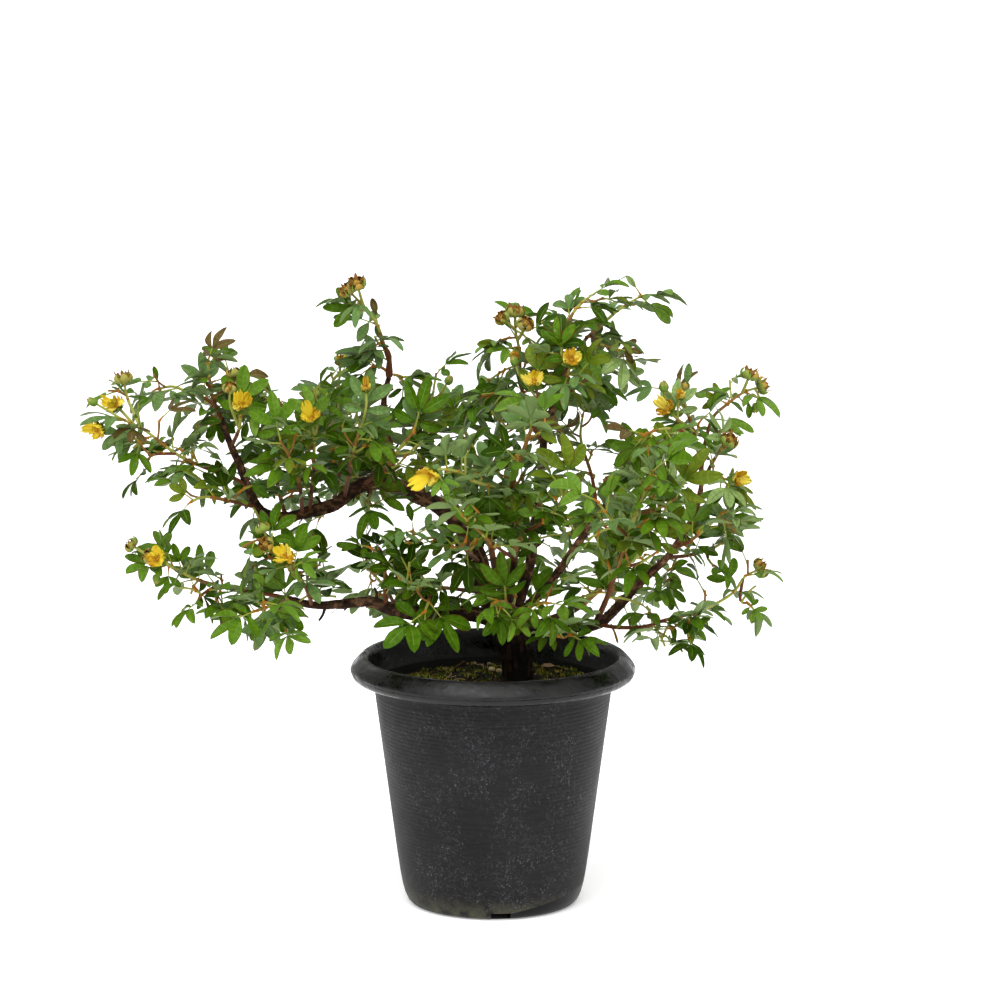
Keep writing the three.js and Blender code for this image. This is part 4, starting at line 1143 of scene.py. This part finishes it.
# Short leafy shoots where the photograph has leaves and the stems have none: spray, stem, share of its length, and
# pixels across and down to the tip
TUFTS = [
    ("left_top", 0, 0.08, (-22, 10)), ("left_tip", 0, 0.45, (0, -26)), ("left_second", 0, 0.4, (18, 14)),
    ("left_tip", 0, 0.75, (-20, 12)), ("left_tip", 3, 0.6, (-18, -6)), ("left_tip", 0, 0.5, (-12, 16)),
    ("centre_heads", 0, 0.5, (-32, 18)), ("centre_heads", 0, 0.72, (-26, 8)), ("back", 1, 0.95, (-22, -20)),
    ("centre_heads", 0, 0.3, (-40, 2)), ("centre_heads", 0, 0.8, (16, 12)),
    ("left_inner", 0, 0.15, (-22, 2)), ("left_mid", 0, 0.08, (8, 14)), ("left_mid", 0, 0.3, (16, -16)),
    ("left_nodding", 0, 0.3, (18, -14)), ("left_skirt", 0, 0.05, (20, -10)),
    ("left_nodding", 1, 0.8, (-24, 8)),
    ("left_nodding", 0, 0.1, (26, -4)), ("left_nodding", 1, 0.4, (-26, 12)),
    ("right_front", 1, 0.3, (-28, 14)), ("back", 3, 0.95, (32, -2)), ("right_front", 0, 0.22, (36, 10)),
    ("right_out", 0, 0.15, (-10, 28)), ("right_low", 0, 0.42, (-12, 24)), ("right_low", 0, 0.5, (4, 26)),
    ("right_low", 0, 0.3, (-6, -20)), ("riser_heads", 0, 0.6, (-22, -22)), ("spire_tip", 0, 0.03, (-16, -8)),
    ("spire_tip", 0, 0.02, (14, 8)), ("right_low", 1, 0.6, (14, -18)), ("right_fan", 0, 0.9, (18, 14)),
    ("right_out", 0, 0.9, (14, -14)), ("right_shoulder", 0, 0.3, (12, 20)), ("front", 0, 0.75, (-34, -8)),
    ("left_low_tip", 0, 0.5, (-8, 14)), ("left_low_tip", 0, 0.4, (-6, 16)),
    ("left_nodding", 0, 0.6, (22, -10)),
    ("left_inner", 0, 0.1, (12, -4)), ("left_face", 0, 0.25, (-20, 6)), ("left_tip", 0, 0.4, (-8, -14)),
    ("front", 2, 0.55, (24, 22)), ("right_front", 0, 0.25, (-26, 6)), ("mid_right", 0, 0.7, (-24, -6)),
    ("right_low", 0, 0.3, (12, 20)), ("right_low", 0, 0.08, (6, 16)), ("back", 1, 0.6, (-4, -30)),
    ("left_low_tip", 3, 0.5, (-22, -6)), ("left_tip", 0, 0.3, (-14, 12)), ("right_low", 2, 0.3, (-20, 8)),
    ("front", 4, 0.9, (12, -22)),
]


def side_shoot(line, foot, end, seed):
    return {"line": line, "foot": foot, "end": end, "seed": seed, "on_limb": False}


def try_leaf(line, t, turn, lean, seed, taken, made, tries=5, scale=FILL_SCALE):
    """Adds one small leaf where it touches nothing that is already there."""
    leaf = {
        "scale": spread(seed, 5, *scale),
        "droop": radians(spread(seed, 6, -6, 30)),
        "leaflets": 5 if draw(seed, 7) < 0.45 else 3,
        "bend": draw(seed, 8) - 0.5,
    }
    for attempt in range(tries):
        roll = Matrix.Rotation(spread(seed + attempt, 15, -0.5, 0.5), 4, "X")
        matrix = leaf_matrix(line, t, turn + 1.3 * attempt, lean, seed + attempt) @ roll
        if taken.claim(matrix, leaf):
            made.append((matrix, leaf, seed))
            return True
    return False


def extra_leaves(stems, number, taken):
    """Small leaves between the large ones, and short side shoots with a tuft of leaves each."""
    made, shoots = [], []
    for index, stem in enumerate(stems):
        line = stem["line"]
        fills, sides = (int(line.length() / step) for step in (FILL_STEP, SHOOT_STEP))
        for k in range(fills):
            seed = 1000 * number + 40 * index + k + 0.5
            t = 0.12 + 0.86 * (k + draw(seed, 1)) / fills
            lean = radians(spread(seed, 2, 30, 80))
            try_leaf(line, t, 2.4 * k + 1.3 * index + number, lean, seed, taken, made)
        for k in range(sides):
            seed = 2000 * number + 70 * index + k + 0.25
            t = 0.15 + 0.8 * (k + draw(seed, 1)) / sides
            along, side, across = line.axes(t)
            turn = 2.1 * k + 0.9 * number + 6.28 * draw(seed, 2)
            reach = spread(seed, 3, 6, 14)
            way = (0.6 * along + cos(turn) * side + sin(turn) * across + 0.25 * UP).normalized()
            start = line.at(t)
            shoot = Line([start, start + 0.5 * reach * way, start + reach * (way + 0.3 * UP).normalized()])
            leafy = False
            for j, share in enumerate((0.97, 0.8, 0.55)):
                lean = radians(spread(seed, 10 + j, 12, 60))
                leafy = try_leaf(shoot, share, turn + 2.2 * j, lean, seed + j, taken, made) or leafy
            if leafy:
                shoots.append(side_shoot(shoot, 0.7, "leaf", number + k))
    return made, shoots


def facing_leaves(name, stems):
    made = []
    for spray, index, share, count, (across, down) in FACING:
        if spray == name:
            way = Vector((across * MM_PER_PIXEL, -2, -down * MM_PER_PIXEL))
            matrix = frame_at(way.normalized(), Vector((0.12, -1, 0.4)), stems[index]["line"].at(share))
            size = way.length / (PETIOLE_LENGTH + END_LEAFLET * LEAFLET["length"])
            leaf = {"scale": size, "droop": radians(6), "leaflets": count, "bend": 0}
            made.append((matrix, leaf, 7 * across + down))
    return made


def tufts(name, number, stems, taken):
    """The short shoots of a spray that are listed one by one, each with its leaves."""
    made, shoots = [], []
    for k, (spray, index, share, (across, down)) in enumerate(TUFTS):
        if spray == name:
            start = stems[index]["line"].at(share)
            way = Vector((across * MM_PER_PIXEL, spread(k, 1, -6, 6), -down * MM_PER_PIXEL))
            shoot = Line([start, start + 0.5 * way + Vector((0, 0, 1.2)), start + way])
            seed = 5000 + 31 * k
            for j in range(5):
                lean = radians(spread(seed, 10 + j, 15, 65))
                try_leaf(shoot, 0.98 - 0.17 * j, 2.3 * j + k, lean, seed + j, taken, made, 8, TUFT_SCALE)
            shoots.append(side_shoot(shoot, 0.75, "leaf", number + k))
    return made, shoots


def take_places(sprays, taken):
    """Marks what the large leaves, stems and limbs fill, and what has to stay in view."""
    for _, _, stems, leaves in sprays:
        for stem in stems:
            taken.mark_line(stem["line"], int(stem["line"].length() / 2))
            if stem.get("end") in CLEAR_ROUND:
                taken.show(stem["line"].at(1), CLEAR_ROUND[stem["end"]])
        for matrix, leaf, _ in leaves:
            taken.mark(leaf_marks(matrix, leaf))
    for wood in LIMBS.values():
        taken.mark_line(wood["line"], 120)
    for name, first, last, width in BARE_LIMBS:
        for k in range(61):
            taken.show(LIMBS[name]["line"].at(first + (last - first) * k / 60), width)


def build_spray(name, number, stems, large, small, shoots):
    node = f"spray_{name}"
    foliage, wood, ends, fading = Shape(), Shape(), Shape(), Shape()
    for stem in stems + shoots:
        add_stem(wood, stem)
    for group, grid in ((large, VEINED), (small, PLAIN)):
        for matrix, leaf, seed in group:
            tone = tone_for(matrix.translation, number + 0.73 * seed)
            add_leaf(foliage, matrix, leaf, number + 0.37 * seed, tone, grid)
    for stem in stems:
        if stem.get("end") == "head":
            add_head(ends, end_matrix(stem), stem["seed"])
        if stem.get("end") == "bloom":
            add_calyx(ends, end_matrix(stem), stem["seed"], stem["size"])
    for k, row in enumerate(BUDS.get(name, ())):
        line = Line([stems[row["on"]]["line"].at(row["at"]), *row["route"]])
        bud = side_shoot(line, 0.8, row.get("end", "bud"), number + 3 + k)
        add_stem(wood, bud)
        matrix = end_matrix(bud)
        if bud["end"] == "bloom":
            add_calyx(ends, matrix, bud["seed"], FADING_SIZE)
            add_petals(fading, matrix, bud["seed"], FADING_SIZE, True)
        elif bud["end"] == "head":
            add_head(ends, matrix, bud["seed"])
        else:
            add_bud(ends, matrix, number)
    foliage.finish(f"leaves_{name}", leaf_materials, "foliage", node)
    wood.finish(f"twigs_{name}", twig_materials, "bark", node)
    ends.finish(f"heads_{name}", head_materials, "foliage", node)
    fading.finish(f"fading_{name}", petal_materials, "petals", node)
    flowers = [stem for stem in stems if stem.get("end") == "bloom"]
    for k, stem in enumerate(flowers):
        label = f"{name}_{k + 1}" if len(flowers) > 1 else name
        flower = Shape()
        add_petals(flower, end_matrix(stem), stem["seed"], stem["size"], name in WITHERED)
        flower.finish(f"petals_{label}", petal_materials, "petals", f"bloom_{label}")


def grow_sprays():
    taken = Taken()
    sprays = []
    for number, (name, rows) in enumerate(SPRAYS.items(), 1):
        stems = spray_stems(rows, number)
        stems[0]["peeling"] = name == "spire_tip"
        sprays.append((name, number, stems, built_leaves(stems, f"spray_{name}") + facing_leaves(name, stems)))
    take_places(sprays, taken)
    by_hand = {name: tufts(name, number, stems, taken) for name, number, stems, _ in sprays}
    for name, number, stems, large in sprays:
        small, shoots = extra_leaves(stems, number, taken)
        hand_leaves, hand_shoots = by_hand[name]
        build_spray(name, number, stems, large, small + hand_leaves, shoots + hand_shoots)


# Pot
def offsets(radius, height, text):
    """Points of an outline by how far they lie in from a radius and down from a height."""
    return [(radius - inward, height - down) for inward, down in points(text)]


def pot_profile():
    """The outline from the foot's edge, up the outside, over the rim and down the inside, in its three materials."""
    foot = [(FOOT_RADIUS, 0), *points("45 0.7, 46.6 2.4, 48 5.6, 49.2 10, 50.5 17")]
    foot.append((WALL_FOOT_RADIUS, WALL_FOOT_HEIGHT))
    slope = (LEDGE_RADIUS - WALL_FOOT_RADIUS) / (LEDGE_HEIGHT - WALL_FOOT_HEIGHT)
    wall = []
    for k in range(int((LEDGE_HEIGHT - 1 - WALL_FOOT_HEIGHT) / RIB_PITCH)):
        for share, out in ((0.0, 0.0), (0.26, 1.0), (0.58, 1.0), (0.84, 0.0)):
            z = WALL_FOOT_HEIGHT + (k + share) * RIB_PITCH
            fade = 0.45 + 0.55 * min(1, max(0, (z - 30) / 80))
            wall.append((WALL_FOOT_RADIUS + slope * (z - WALL_FOOT_HEIGHT) + out * RIB_DEPTH * fade, z))
    wall += offsets(LEDGE_RADIUS, POT_HEIGHT, "0 18.4, -0.9 18, -1.1 15.8, -1.6 14.9")
    rim = offsets(
        RIM_RADIUS, POT_HEIGHT,
        "6.4 13.4, 3.4 12.6, 2.4 12.3, 1.6 11.6, 0.9 10.6, 0.65 9.5, 0.75 9, 0.1 8.5, 0 7.7, 0.35 6.7, 1 5.6, "
        "2.2 4, 3.6 2.4, 5 1, 6.2 0.25, 7.4 0, 8.5 0.5, 9.5 2.2, 10.2 5, 10.9 9"
    )
    inner = WALL_FOOT_RADIUS - WALL
    inner_top = inner + slope * (LEDGE_HEIGHT - WALL_FOOT_HEIGHT)
    inside = [(inner_top + 1.2, LEDGE_HEIGHT + 3), (inner_top, LEDGE_HEIGHT), (inner, WALL_FOOT_HEIGHT)]
    return foot + wall, rim, inside + [(46.6, 7), (44.6, FLOOR_THICK)]


def pot_material():
    """Weathered black plastic: a grey haze, pale curls and specks, dust near the foot and a clean dark wedge."""
    material = principled("pot_plastic", (0.03, 0.03, 0.032), 0.55, Specular_IOR_Level=0.13)
    g = Graph(material)
    x, y, z = g.place()
    haze = g.rise(g.noise(24, 5), 0.36, 0.70)
    patches = g.rise(g.noise(52, 4), 0.38, 0.64)
    curls = g.rise(g.calc("ABSOLUTE", g.calc("SUBTRACT", g.noise(420, 1.2), 0.56)), 0.012, 0.004)
    specks = g.rise(g.noise(700, 3, rough=0.7), 0.62, 0.69)
    marks = g.times(g.calc("MAXIMUM", g.times(curls, 0.8), specks), patches)
    streaks = g.rise(g.noise(90, 4, stretch=(1, 1, 6)), 0.45, 0.75)
    base = g.mix(haze, (0.0052, 0.0049, 0.0050), (0.0125, 0.0118, 0.0120))
    base = g.mix(g.times(streaks, 0.5), base, (0.019, 0.019, 0.0195))
    worn = g.mix(g.times(marks, 0.85), base, (0.120, 0.127, 0.144))
    dusty = g.noise(120, 5, rough=0.75)
    low_down = g.rise(g.calc("ADD", z, g.times(dusty, 0.022)), 0.024, 0.011)
    dust = g.times(low_down, g.rise(dusty, 0.40, 0.62))
    worn = g.mix(g.times(dust, 0.8), worn, (0.120, 0.115, 0.070))
    edge = g.calc("SUBTRACT", g.line(x, 0.20, 0.0022, clamp=False), z)
    clean = g.times(g.rise(edge, 0.0, 0.0006), g.rise(y, 0.004, -0.004))
    g.feed(g.shader["Base Color"], g.mix(clean, worn, (0.003, 0.003, 0.0035)))
    rough = g.line(haze, 0.16, 0.46, clamp=False)
    g.feed(g.shader["Roughness"], g.calc("SUBTRACT", rough, g.times(clean, 0.2)))
    return material


def rim_material():
    """Smooth black plastic, patchy in its gloss."""
    material = principled("pot_rim", (0.005, 0.005, 0.0055), 0.3, Specular_IOR_Level=0.30)
    g = Graph(material)
    patches = g.noise(34, 4, stretch=(1, 1, 2.5))
    g.feed(g.shader["Roughness"], g.ramp(patches, (0.40, 0.10), (0.58, 0.50)))
    g.feed(g.shader["Base Color"], g.ramp(patches, (0.42, 0.0010), (0.56, 0.0050), (0.74, 0.0120)))
    return fine_relief(material, 160, 0.5)


def drain_cutters():
    """Solids that cut the channels and the holes into the base."""
    for k in range(CHANNEL["count"]):
        turn = -pi / 2 + k * pi / 2 + CHANNEL["turn"]
        bpy.ops.mesh.primitive_cube_add(size=1)
        channel = bpy.context.object
        channel.scale = [MM * size for size in (CHANNEL["length"], CHANNEL["width"], 2 * CHANNEL["depth"])]
        channel.location = (*polar(CHANNEL["middle"] * MM, turn), 0)
        channel.rotation_euler = (0, 0, turn)
        yield channel
        radius, depth = HOLE["radius"] * MM, HOLE["depth"] * MM
        bpy.ops.mesh.primitive_cylinder_add(vertices=HOLE["sides"], radius=radius, depth=depth)
        hole = bpy.context.object
        hole.location = (*polar(HOLE["at"] * MM, turn), 0)
        yield hole


def build_pot():
    rings = [(r, z, slot) for slot, part in enumerate(pot_profile()) for r, z in part]
    places = [(*polar(r, 2 * pi * k / POT_SIDES), z) for r, z, _ in rings for k in range(POT_SIDES)]
    faces = capped_faces(len(rings), POT_SIDES)
    slots = [ring[2] for ring in rings[:-1] for _ in range(POT_SIDES)] + [0, 2] * POT_SIDES
    shape = Shape()
    shape.add([*places, (0, 0, 0), (0, 0, FLOOR_THICK)], faces, slots)
    inside = dull("pot_inside", (0.006, 0.006, 0.0055), 0.7, 260, 0.5)
    pot = shape.make("pot_shell", [pot_material(), rim_material(), inside], sharp=40)
    cutters = list(drain_cutters())
    for cutter in cutters:
        cut = pot.modifiers.new("cut", "BOOLEAN")
        cut.operation = "DIFFERENCE"
        cut.solver = "EXACT"
        cut.object = cutter
    bake_modifiers(pot)
    for cutter in cutters:
        bpy.data.objects.remove(cutter, do_unlink=True)
    finish_piece(pot, "pot_plastic", "pot")


# Soil with crumbs, moss and grit
def soil_top(x, y):
    far = hypot(x - TRUNK_AT[0], y - TRUNK_AT[1]) / 62.2
    lumps = 0.8 * sin(0.21 * x + 1) * cos(0.19 * y) + 0.5 * sin(0.53 * x - 0.41 * y)
    return SOIL_LEVEL + SOIL_MOUND * max(0, 1 - far) + lumps


def on_soil(x, y, lift=0):
    """The point over or in the rough surface of the soil."""
    fine = noise.fractal(Vector((0.35 * x, 0.35 * y, 3)), 0.8, 2.1, 4)
    return x, y, soil_top(x, y) + 0.9 * fine + lift


def build_soil():
    rings, sides = 34, 110
    turns = [2 * pi * k / sides for k in range(sides)]
    places = [on_soil(*polar(SOIL_RADIUS * r / rings, turn)) for r in range(1, rings + 1) for turn in turns]
    wall = points("48.9 24, 45.5 7.4, 43.5 5.5")
    places += [(*polar(radius, turn), z) for radius, z in wall for turn in turns]
    faces = [tuple(reversed(face)) for face in capped_faces(rings + len(wall), sides)]
    shape = Shape()
    shape.add([*places, on_soil(0, 0), (0, 0, wall[-1][1])], faces, 0)
    shape.finish("soil_body", [dull("soil_dark", (0.014, 0.010, 0.005), 0.95, 300, 1.2)], "soil", "soil", sharp=80)


def add_lump(shape, centre, size, seed, slot):
    """A small rough lump with six corners."""
    corners = []
    for k in range(6):
        axis = [0.0, 0.0, 0.0]
        axis[k // 2] = (1 if k % 2 else -1) * size * spread(seed, k, 0.7, 1.25)
        corners.append(axis)
    turn = Matrix.Rotation(6.28 * draw(seed, 8), 3, Vector((draw(seed, 9) - 0.5, draw(seed, 10) - 0.5, 1)))
    faces = [(x, y, z) if (x + y + z) % 2 else (x, z, y) for x in (0, 1) for y in (2, 3) for z in (4, 5)]
    shape.add([turn @ Vector(p) + Vector(centre) for p in corners], faces, slot)


def scatter(count, seed):
    """Numbered places over the soil, clear of the trunk."""
    for k in range(count):
        x, y = polar(LOOSE_RADIUS * sqrt(draw(seed + k, 1)), 2 * pi * draw(seed + k, 2))
        if hypot(x - TRUNK_AT[0], y - TRUNK_AT[1]) > 11.5:
            yield k, x, y


def build_crumbs():
    dark, brown, pale = range(3)
    shape = Shape()
    for k, x, y in scatter(1500, 5):
        size = 0.35 + 1.1 * draw(k, 3) ** 3
        slot = pale if draw(k, 4) < 0.09 else brown if draw(k, 4) < 0.4 else dark
        add_lump(shape, on_soil(x, y, 0.3 * size), size, 17 + k, slot)
    for k, x, y in scatter(90, 4000):
        across, down = polar(spread(k, 6, 1.5, 4.2), 6.28 * draw(k, 5))
        ends = [(x + s * across, y + s * down) for s in (-1, 0, 1)]
        if all(hypot(*end) <= LOOSE_RADIUS for end in ends):
            straw = Line([on_soil(*end, 0.7) for end in ends])
            add_tube(shape, straw, (0.28, 0.28), 5, 4, pale if k % 3 else brown)
    materials = [
        dull("crumb_dark", (0.012, 0.008, 0.004), 0.95),
        dull("crumb_brown", (0.060, 0.033, 0.013), 0.95),
        dull("crumb_pale", (0.46, 0.34, 0.17), 0.9),
    ]
    shape.finish("soil_crumbs", materials, "soil", sharp=30)


def build_moss():
    """Clumps of short blades, green or dark, with some yellow blades in each."""
    green, yellow, dark = range(3)
    blades, wide = 46, 0.38
    shape = Shape()
    for clump, cx, cy in scatter(210, 900):
        if noise.noise(Vector((0.045 * cx, 0.045 * cy, 7))) < -0.05 and cy < 10:
            continue
        reach = spread(clump, 5, 2.0, 4.6)
        main = pick((green, dark, dark), draw(clump, 6))
        for k in range(blades):
            seed = 97 * clump + k
            far = reach * sqrt((k + 0.5) / blades)
            across, down = polar(far, 2.4 * k)
            x, y, z = on_soil(cx + across, cy + down, -0.3)
            if hypot(x, y) > 61:
                continue
            high = spread(seed, 7, 0.9, 2.1) * (1.1 - 0.5 * far / reach)
            turn = 6.28 * draw(seed, 9)
            lean_x, lean_y = polar(0.8 * draw(seed, 8), turn)
            feet = [(x + a, y + b, z) for a, b in (polar(wide, turn + part) for part in (0, 2.09, 4.19))]
            tone = yellow if draw(seed, 10) < 0.2 else main
            tip = (x + lean_x, y + lean_y, z + high + 0.3)
            shape.add([*feet, tip], [(0, 1, 3), (1, 2, 3), (2, 0, 3), (0, 2, 1)], tone)
    materials = [
        dull("moss_green", (0.180, 0.230, 0.014), 0.9),
        dull("moss_yellow", (0.480, 0.360, 0.060), 0.9),
        dull("moss_dark", (0.056, 0.088, 0.008), 0.9),
    ]
    shape.finish("soil_moss", materials, "soil", sharp=20)


def build_grit():
    """Pebbles in place of the plain ones."""
    grit = dull("grit", (0.70, 0.56, 0.30), 0.85, 500, 0.6)
    for node in ("pebble_left", "pebble_right"):
        low, high = (Vector(c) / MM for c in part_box(node))
        half, centre = (high - low) / 2, (high + low) / 2

        def place(tilt, turn, _):
            way = Vector((*polar(cos(tilt), turn), sin(tilt)))
            bump = 1 + 0.07 * noise.noise(1.6 * way + centre)
            return centre + Vector([bump * w * h for w, h in zip(way, half)])

        shape = Shape()
        lift = Vector((0, 0, half.z))
        add_globe(shape, 12, 20, place, [centre - lift, centre + lift], 0)
        shape.finish(f"grit_{node}", [grit], "stone", node, sharp=180)


def build_litter():
    """A dry twig, a curl and a dead leaf on the soil."""
    stick, curl, leaf = range(3)
    shape = Shape()
    route = [on_soil(*place) for place in points("-22 38 0.6, -20 30 3, -17.5 22 5.5, -16 17 8")]
    add_tube(shape, Line(route), (0.8, 0.6), 7, 10, stick)
    level = on_soil(6, 31, 0.9)[2]
    route = [(6.5 + 1.9 * cos(a), 31 + 1.2 * sin(a), level + 0.3 * a) for a in range(6)]
    add_tube(shape, Line(route), (0.45, 0.45), 6, 14, curl)
    top = []
    for r in range(8):
        u = r / 7
        half = 3.0 * sin(pi * (0.04 + 0.92 * u)) ** 0.8
        top.append([
            Vector(on_soil(
                27 + 12 * u - 2 * v * half * 0.3, 30 + 4 * u + v * half, 1.3 + 0.9 * v * v + 0.8 * sin(5 * u)
            ))
            for v in (1, 0.5, 0, -0.5, -1)
        ])
    add_sheet(shape, top, 0.2, leaf)
    materials = [
        dull("dry_stick", (0.12, 0.065, 0.035), 0.85),
        dull("dry_curl", (0.30, 0.20, 0.11), 0.8),
        dull("dead_leaf", (0.23, 0.15, 0.08), 0.8),
    ]
    shape.finish("dry_litter", materials, "soil")


# Trunk and old limbs: tubes melted together, then roughened, with loose bark and dead stubs
VOXEL = 0.78
# Loose strips of bark: their number on each limb
SHREDS = {
    "trunk": 34, "left_up": 56, "left_low": 30, "right_main": 26, "centre": 22, "right_up": 18, "spire": 34,
}
# Dead stubs: limb, share of its length, turn round it and reach
STUBS = [
    ("left_up", 0.34, 0.4, 6), ("left_up", 0.45, 2.2, 4), ("left_up", 0.57, 4.4, 5),
    ("left_low", 0.35, 1.4, 7),
    ("left_low", 0.55, 4.6, 5), ("left_low", 0.78, 2.0, 6), ("right_main", 0.3, 1.0, 6),
    ("right_main", 0.62, 3.9, 5),
    ("centre", 0.35, 2.6, 6), ("centre", 0.6, 5.2, 5), ("right_up", 0.5, 0.8, 5), ("spire", 0.3, 2.5, 4),
]


def bark_material():
    """Old bark: brown ridges over dark cracks, lighter on the right-hand limbs and the low left limb, near black
    near the soil as painted shade.
    """
    material = principled("bark_old", (0.06, 0.032, 0.02), 0.85, Specular_IOR_Level=0.15)
    g = Graph(material)
    grain = g.noise(230, 6, rough=0.7)
    inner = g.ramp(
        grain, (0.38, (0.006, 0.003, 0.002)), (0.50, (0.040, 0.018, 0.008)), (0.66, (0.190, 0.098, 0.044))
    )
    ends = g.ramp(
        grain, (0.38, (0.020, 0.009, 0.005)), (0.50, (0.090, 0.040, 0.019)), (0.66, (0.300, 0.160, 0.085))
    )
    x, _, z = g.place()
    low_left = g.times(g.line(x, -15, -0.6), g.line(z, -50, 10.0))
    bark = g.mix(g.calc("MAXIMUM", g.line(x, 25, -0.6), low_left), inner, ends)
    # Painted shade: the bark goes near black below about 141 mm, near the soil and in the pot, up to full colour at
    # about 186 mm
    g.feed(g.shader["Base Color"], g.mix(g.line(z, 22, -3.1), (0.006, 0.0035, 0.002), bark))
    return material


def build_wood():
    shape = Shape()
    for wood in LIMBS.values():
        steps = max(10, round(wood["line"].length() / 2.5))
        add_tube(shape, wood["line"], wood["radii"], 20, steps, 0)
    wood = shape.make("old_wood", [bark_material()], sharp=180)
    melt = wood.modifiers.new("melt", "REMESH")
    melt.mode = "VOXEL"
    melt.voxel_size = VOXEL * MM
    bake_modifiers(wood)
    roughen(wood)
    wood.data.polygons.foreach_set("use_smooth", [True] * len(wood.data.polygons))
    finish_piece(wood, "bark", "trunk_and_limbs")


def roughen(wood):
    """Pushes the bark in and out in long strips that run along each limb."""
    marks = []
    for limb_of in LIMBS.values():
        line = limb_of["line"]
        steps = round(line.length() / 2)
        far = 0
        before = line.at(0)
        for k in range(steps + 1):
            t = k / steps
            here = line.at(t)
            far += (here - before).length
            before = here
            marks.append((here, line.axes(t), far, blend(limb_of["radii"], t)))
    tree = vertex_tree([mark[0] for mark in marks])
    mesh = wood.data
    normals = [v.normal.copy() for v in mesh.vertices]
    for vertex, normal in zip(mesh.vertices, normals):
        point = vertex.co / MM
        here, (along, side, across), far, radius = marks[tree.find(point)[1]]
        away = point - here
        turn = atan2(away.dot(across), away.dot(side))
        strip = Vector((*polar(2.2 * radius**0.5, turn), 0.09 * (far + away.dot(along))))
        ridge = noise.fractal(strip, 0.9, 2.2, 4)
        push = (0.07 * radius + 0.3) * ridge + 0.08 * radius * noise.noise(0.07 * point)
        vertex.co = (point + push * normal) * MM


def add_shred(shape, name, seed, tone):
    """One loose strip of bark, which lifts off its limb towards its ends."""
    line, radii = LIMBS[name]["line"], LIMBS[name]["radii"]
    low = spread(seed, 1, 0.25 if name == "trunk" else 0.02, 0.8)
    reach = spread(seed, 2, 5, 15) / line.length()
    turn = 6.28 * draw(seed, 3)
    half = spread(seed, 4, 0.10, 0.22) * (3 if name == "spire" else 1)
    lift = spread(seed, 5, 0.6, 3.0)
    rows = []
    for r in range(6):
        u = r / 5
        t = min(0.99, low + reach * u)
        axes, middle = line.axes(t), line.at(t)
        away = blend(radii, t) * 1.03 + lift * (2 * u - 1) ** 2 * (1 if u > 0.5 else 0.15)
        turns = [turn + v * half * (1 - 0.4 * u) + 0.25 * u * sin(seed) for v in (1, 0, -1)]
        rows.append([middle + away * around(axes, angle) for angle in turns])
    add_sheet(shape, rows, 0.18, tone)


def build_shreds():
    """Loose strips of bark that stand off the trunk and the old limbs, and a few dead stubs."""
    dark, pale, red = range(3)
    shape = Shape()
    for name, count in SHREDS.items():
        for k in range(count):
            tone = red if name == "spire" else pale if k % 3 == 0 and name != "trunk" else dark
            add_shred(shape, name, 13 * k + 101 * count, tone)
    for name, t, turn, reach in STUBS:
        line = LIMBS[name]["line"]
        axes = line.axes(t)
        along, away = axes[0], around(axes, turn)
        radius = blend(LIMBS[name]["radii"], t)
        start = line.at(t) + 0.5 * radius * away
        middle = start + (0.5 * radius + 0.5 * reach) * away + 0.2 * reach * along
        end = start + (0.5 * radius + reach) * away + 0.55 * reach * along
        add_tube(shape, Line([start, middle, end]), (0.9, 0.6), 6, 4, dark)
    materials = [
        dull("shred_dark", (0.024, 0.012, 0.006), 0.85),
        dull("shred_pale", (0.130, 0.066, 0.030), 0.85),
        dull("shred_red", (0.130, 0.046, 0.016), 0.8),
    ]
    shape.finish("bark_shreds", materials, "bark")


# Stage: a pale floor, soft light and the camera. Lamps: tilt from overhead, turn, strength and width in degrees
WORLD_LIGHT = 0.59
FLOOR_GLOW = 0.26
LAMPS = [("key", 32, -24, 2.7, 60), ("fill", 48, 40, 1.0, 80), ("back", -40, 10, 0.8, 70)]


def add_floor(name, radius, sides, height, material):
    mesh = bpy.data.meshes.new(name)
    corners = [(*polar(radius, 2 * pi * (k + 0.5) / sides), 0) for k in range(sides)]
    mesh.from_pydata(corners, [], [range(sides)])
    mesh.materials.append(material)
    ground = linked(name, mesh)
    ground.location.z = height


def build_stage():
    pale = principled(
        "floor_pale", (0.92, 0.92, 0.92), 0.9,
        Specular_IOR_Level=0.1, Emission_Color=(1, 1, 1), Emission_Strength=FLOOR_GLOW,
    )
    # Painted shade: a darker floor disc under the pot that does not glow, seen only through the channels
    shaded = principled("floor_shaded", (0.2, 0.2, 0.2), 0.9, Specular_IOR_Level=0.1)
    add_floor("floor", 25 * sqrt(2), 4, -0.0002, pale)
    add_floor("floor_under_pot", (FOOT_RADIUS - 0.1) * MM, 96, -0.0001, shaded)
    world = bpy.data.worlds.new("soft")
    world.use_nodes = True
    background = world.node_tree.nodes["Background"].inputs
    background["Color"].default_value = (1, 1, 1, 1)
    background["Strength"].default_value = WORLD_LIGHT
    bpy.context.scene.world = world
    for name, tilt, turn, strength, width in LAMPS:
        data = bpy.data.lights.new(name, "SUN")
        data.energy = strength
        data.angle = radians(width)
        linked(name, data).rotation_euler = (radians(tilt), 0, radians(turn))
    data = bpy.data.cameras.new("camera")
    data.sensor_width = CAMERA_SENSOR
    data.lens = CAMERA_LENS
    data.clip_end = 100
    camera = linked("camera", data)
    camera.location = Vector(CAMERA_AT) * MM
    camera.rotation_euler = (radians(90 - CAMERA_PITCH), 0, 0)
    bpy.context.scene.camera = camera
    bpy.context.scene.view_settings.view_transform = "Standard"


build_pot()
build_soil()
build_crumbs()
build_moss()
build_grit()
build_litter()
build_wood()
build_shreds()
grow_sprays()
build_stage()
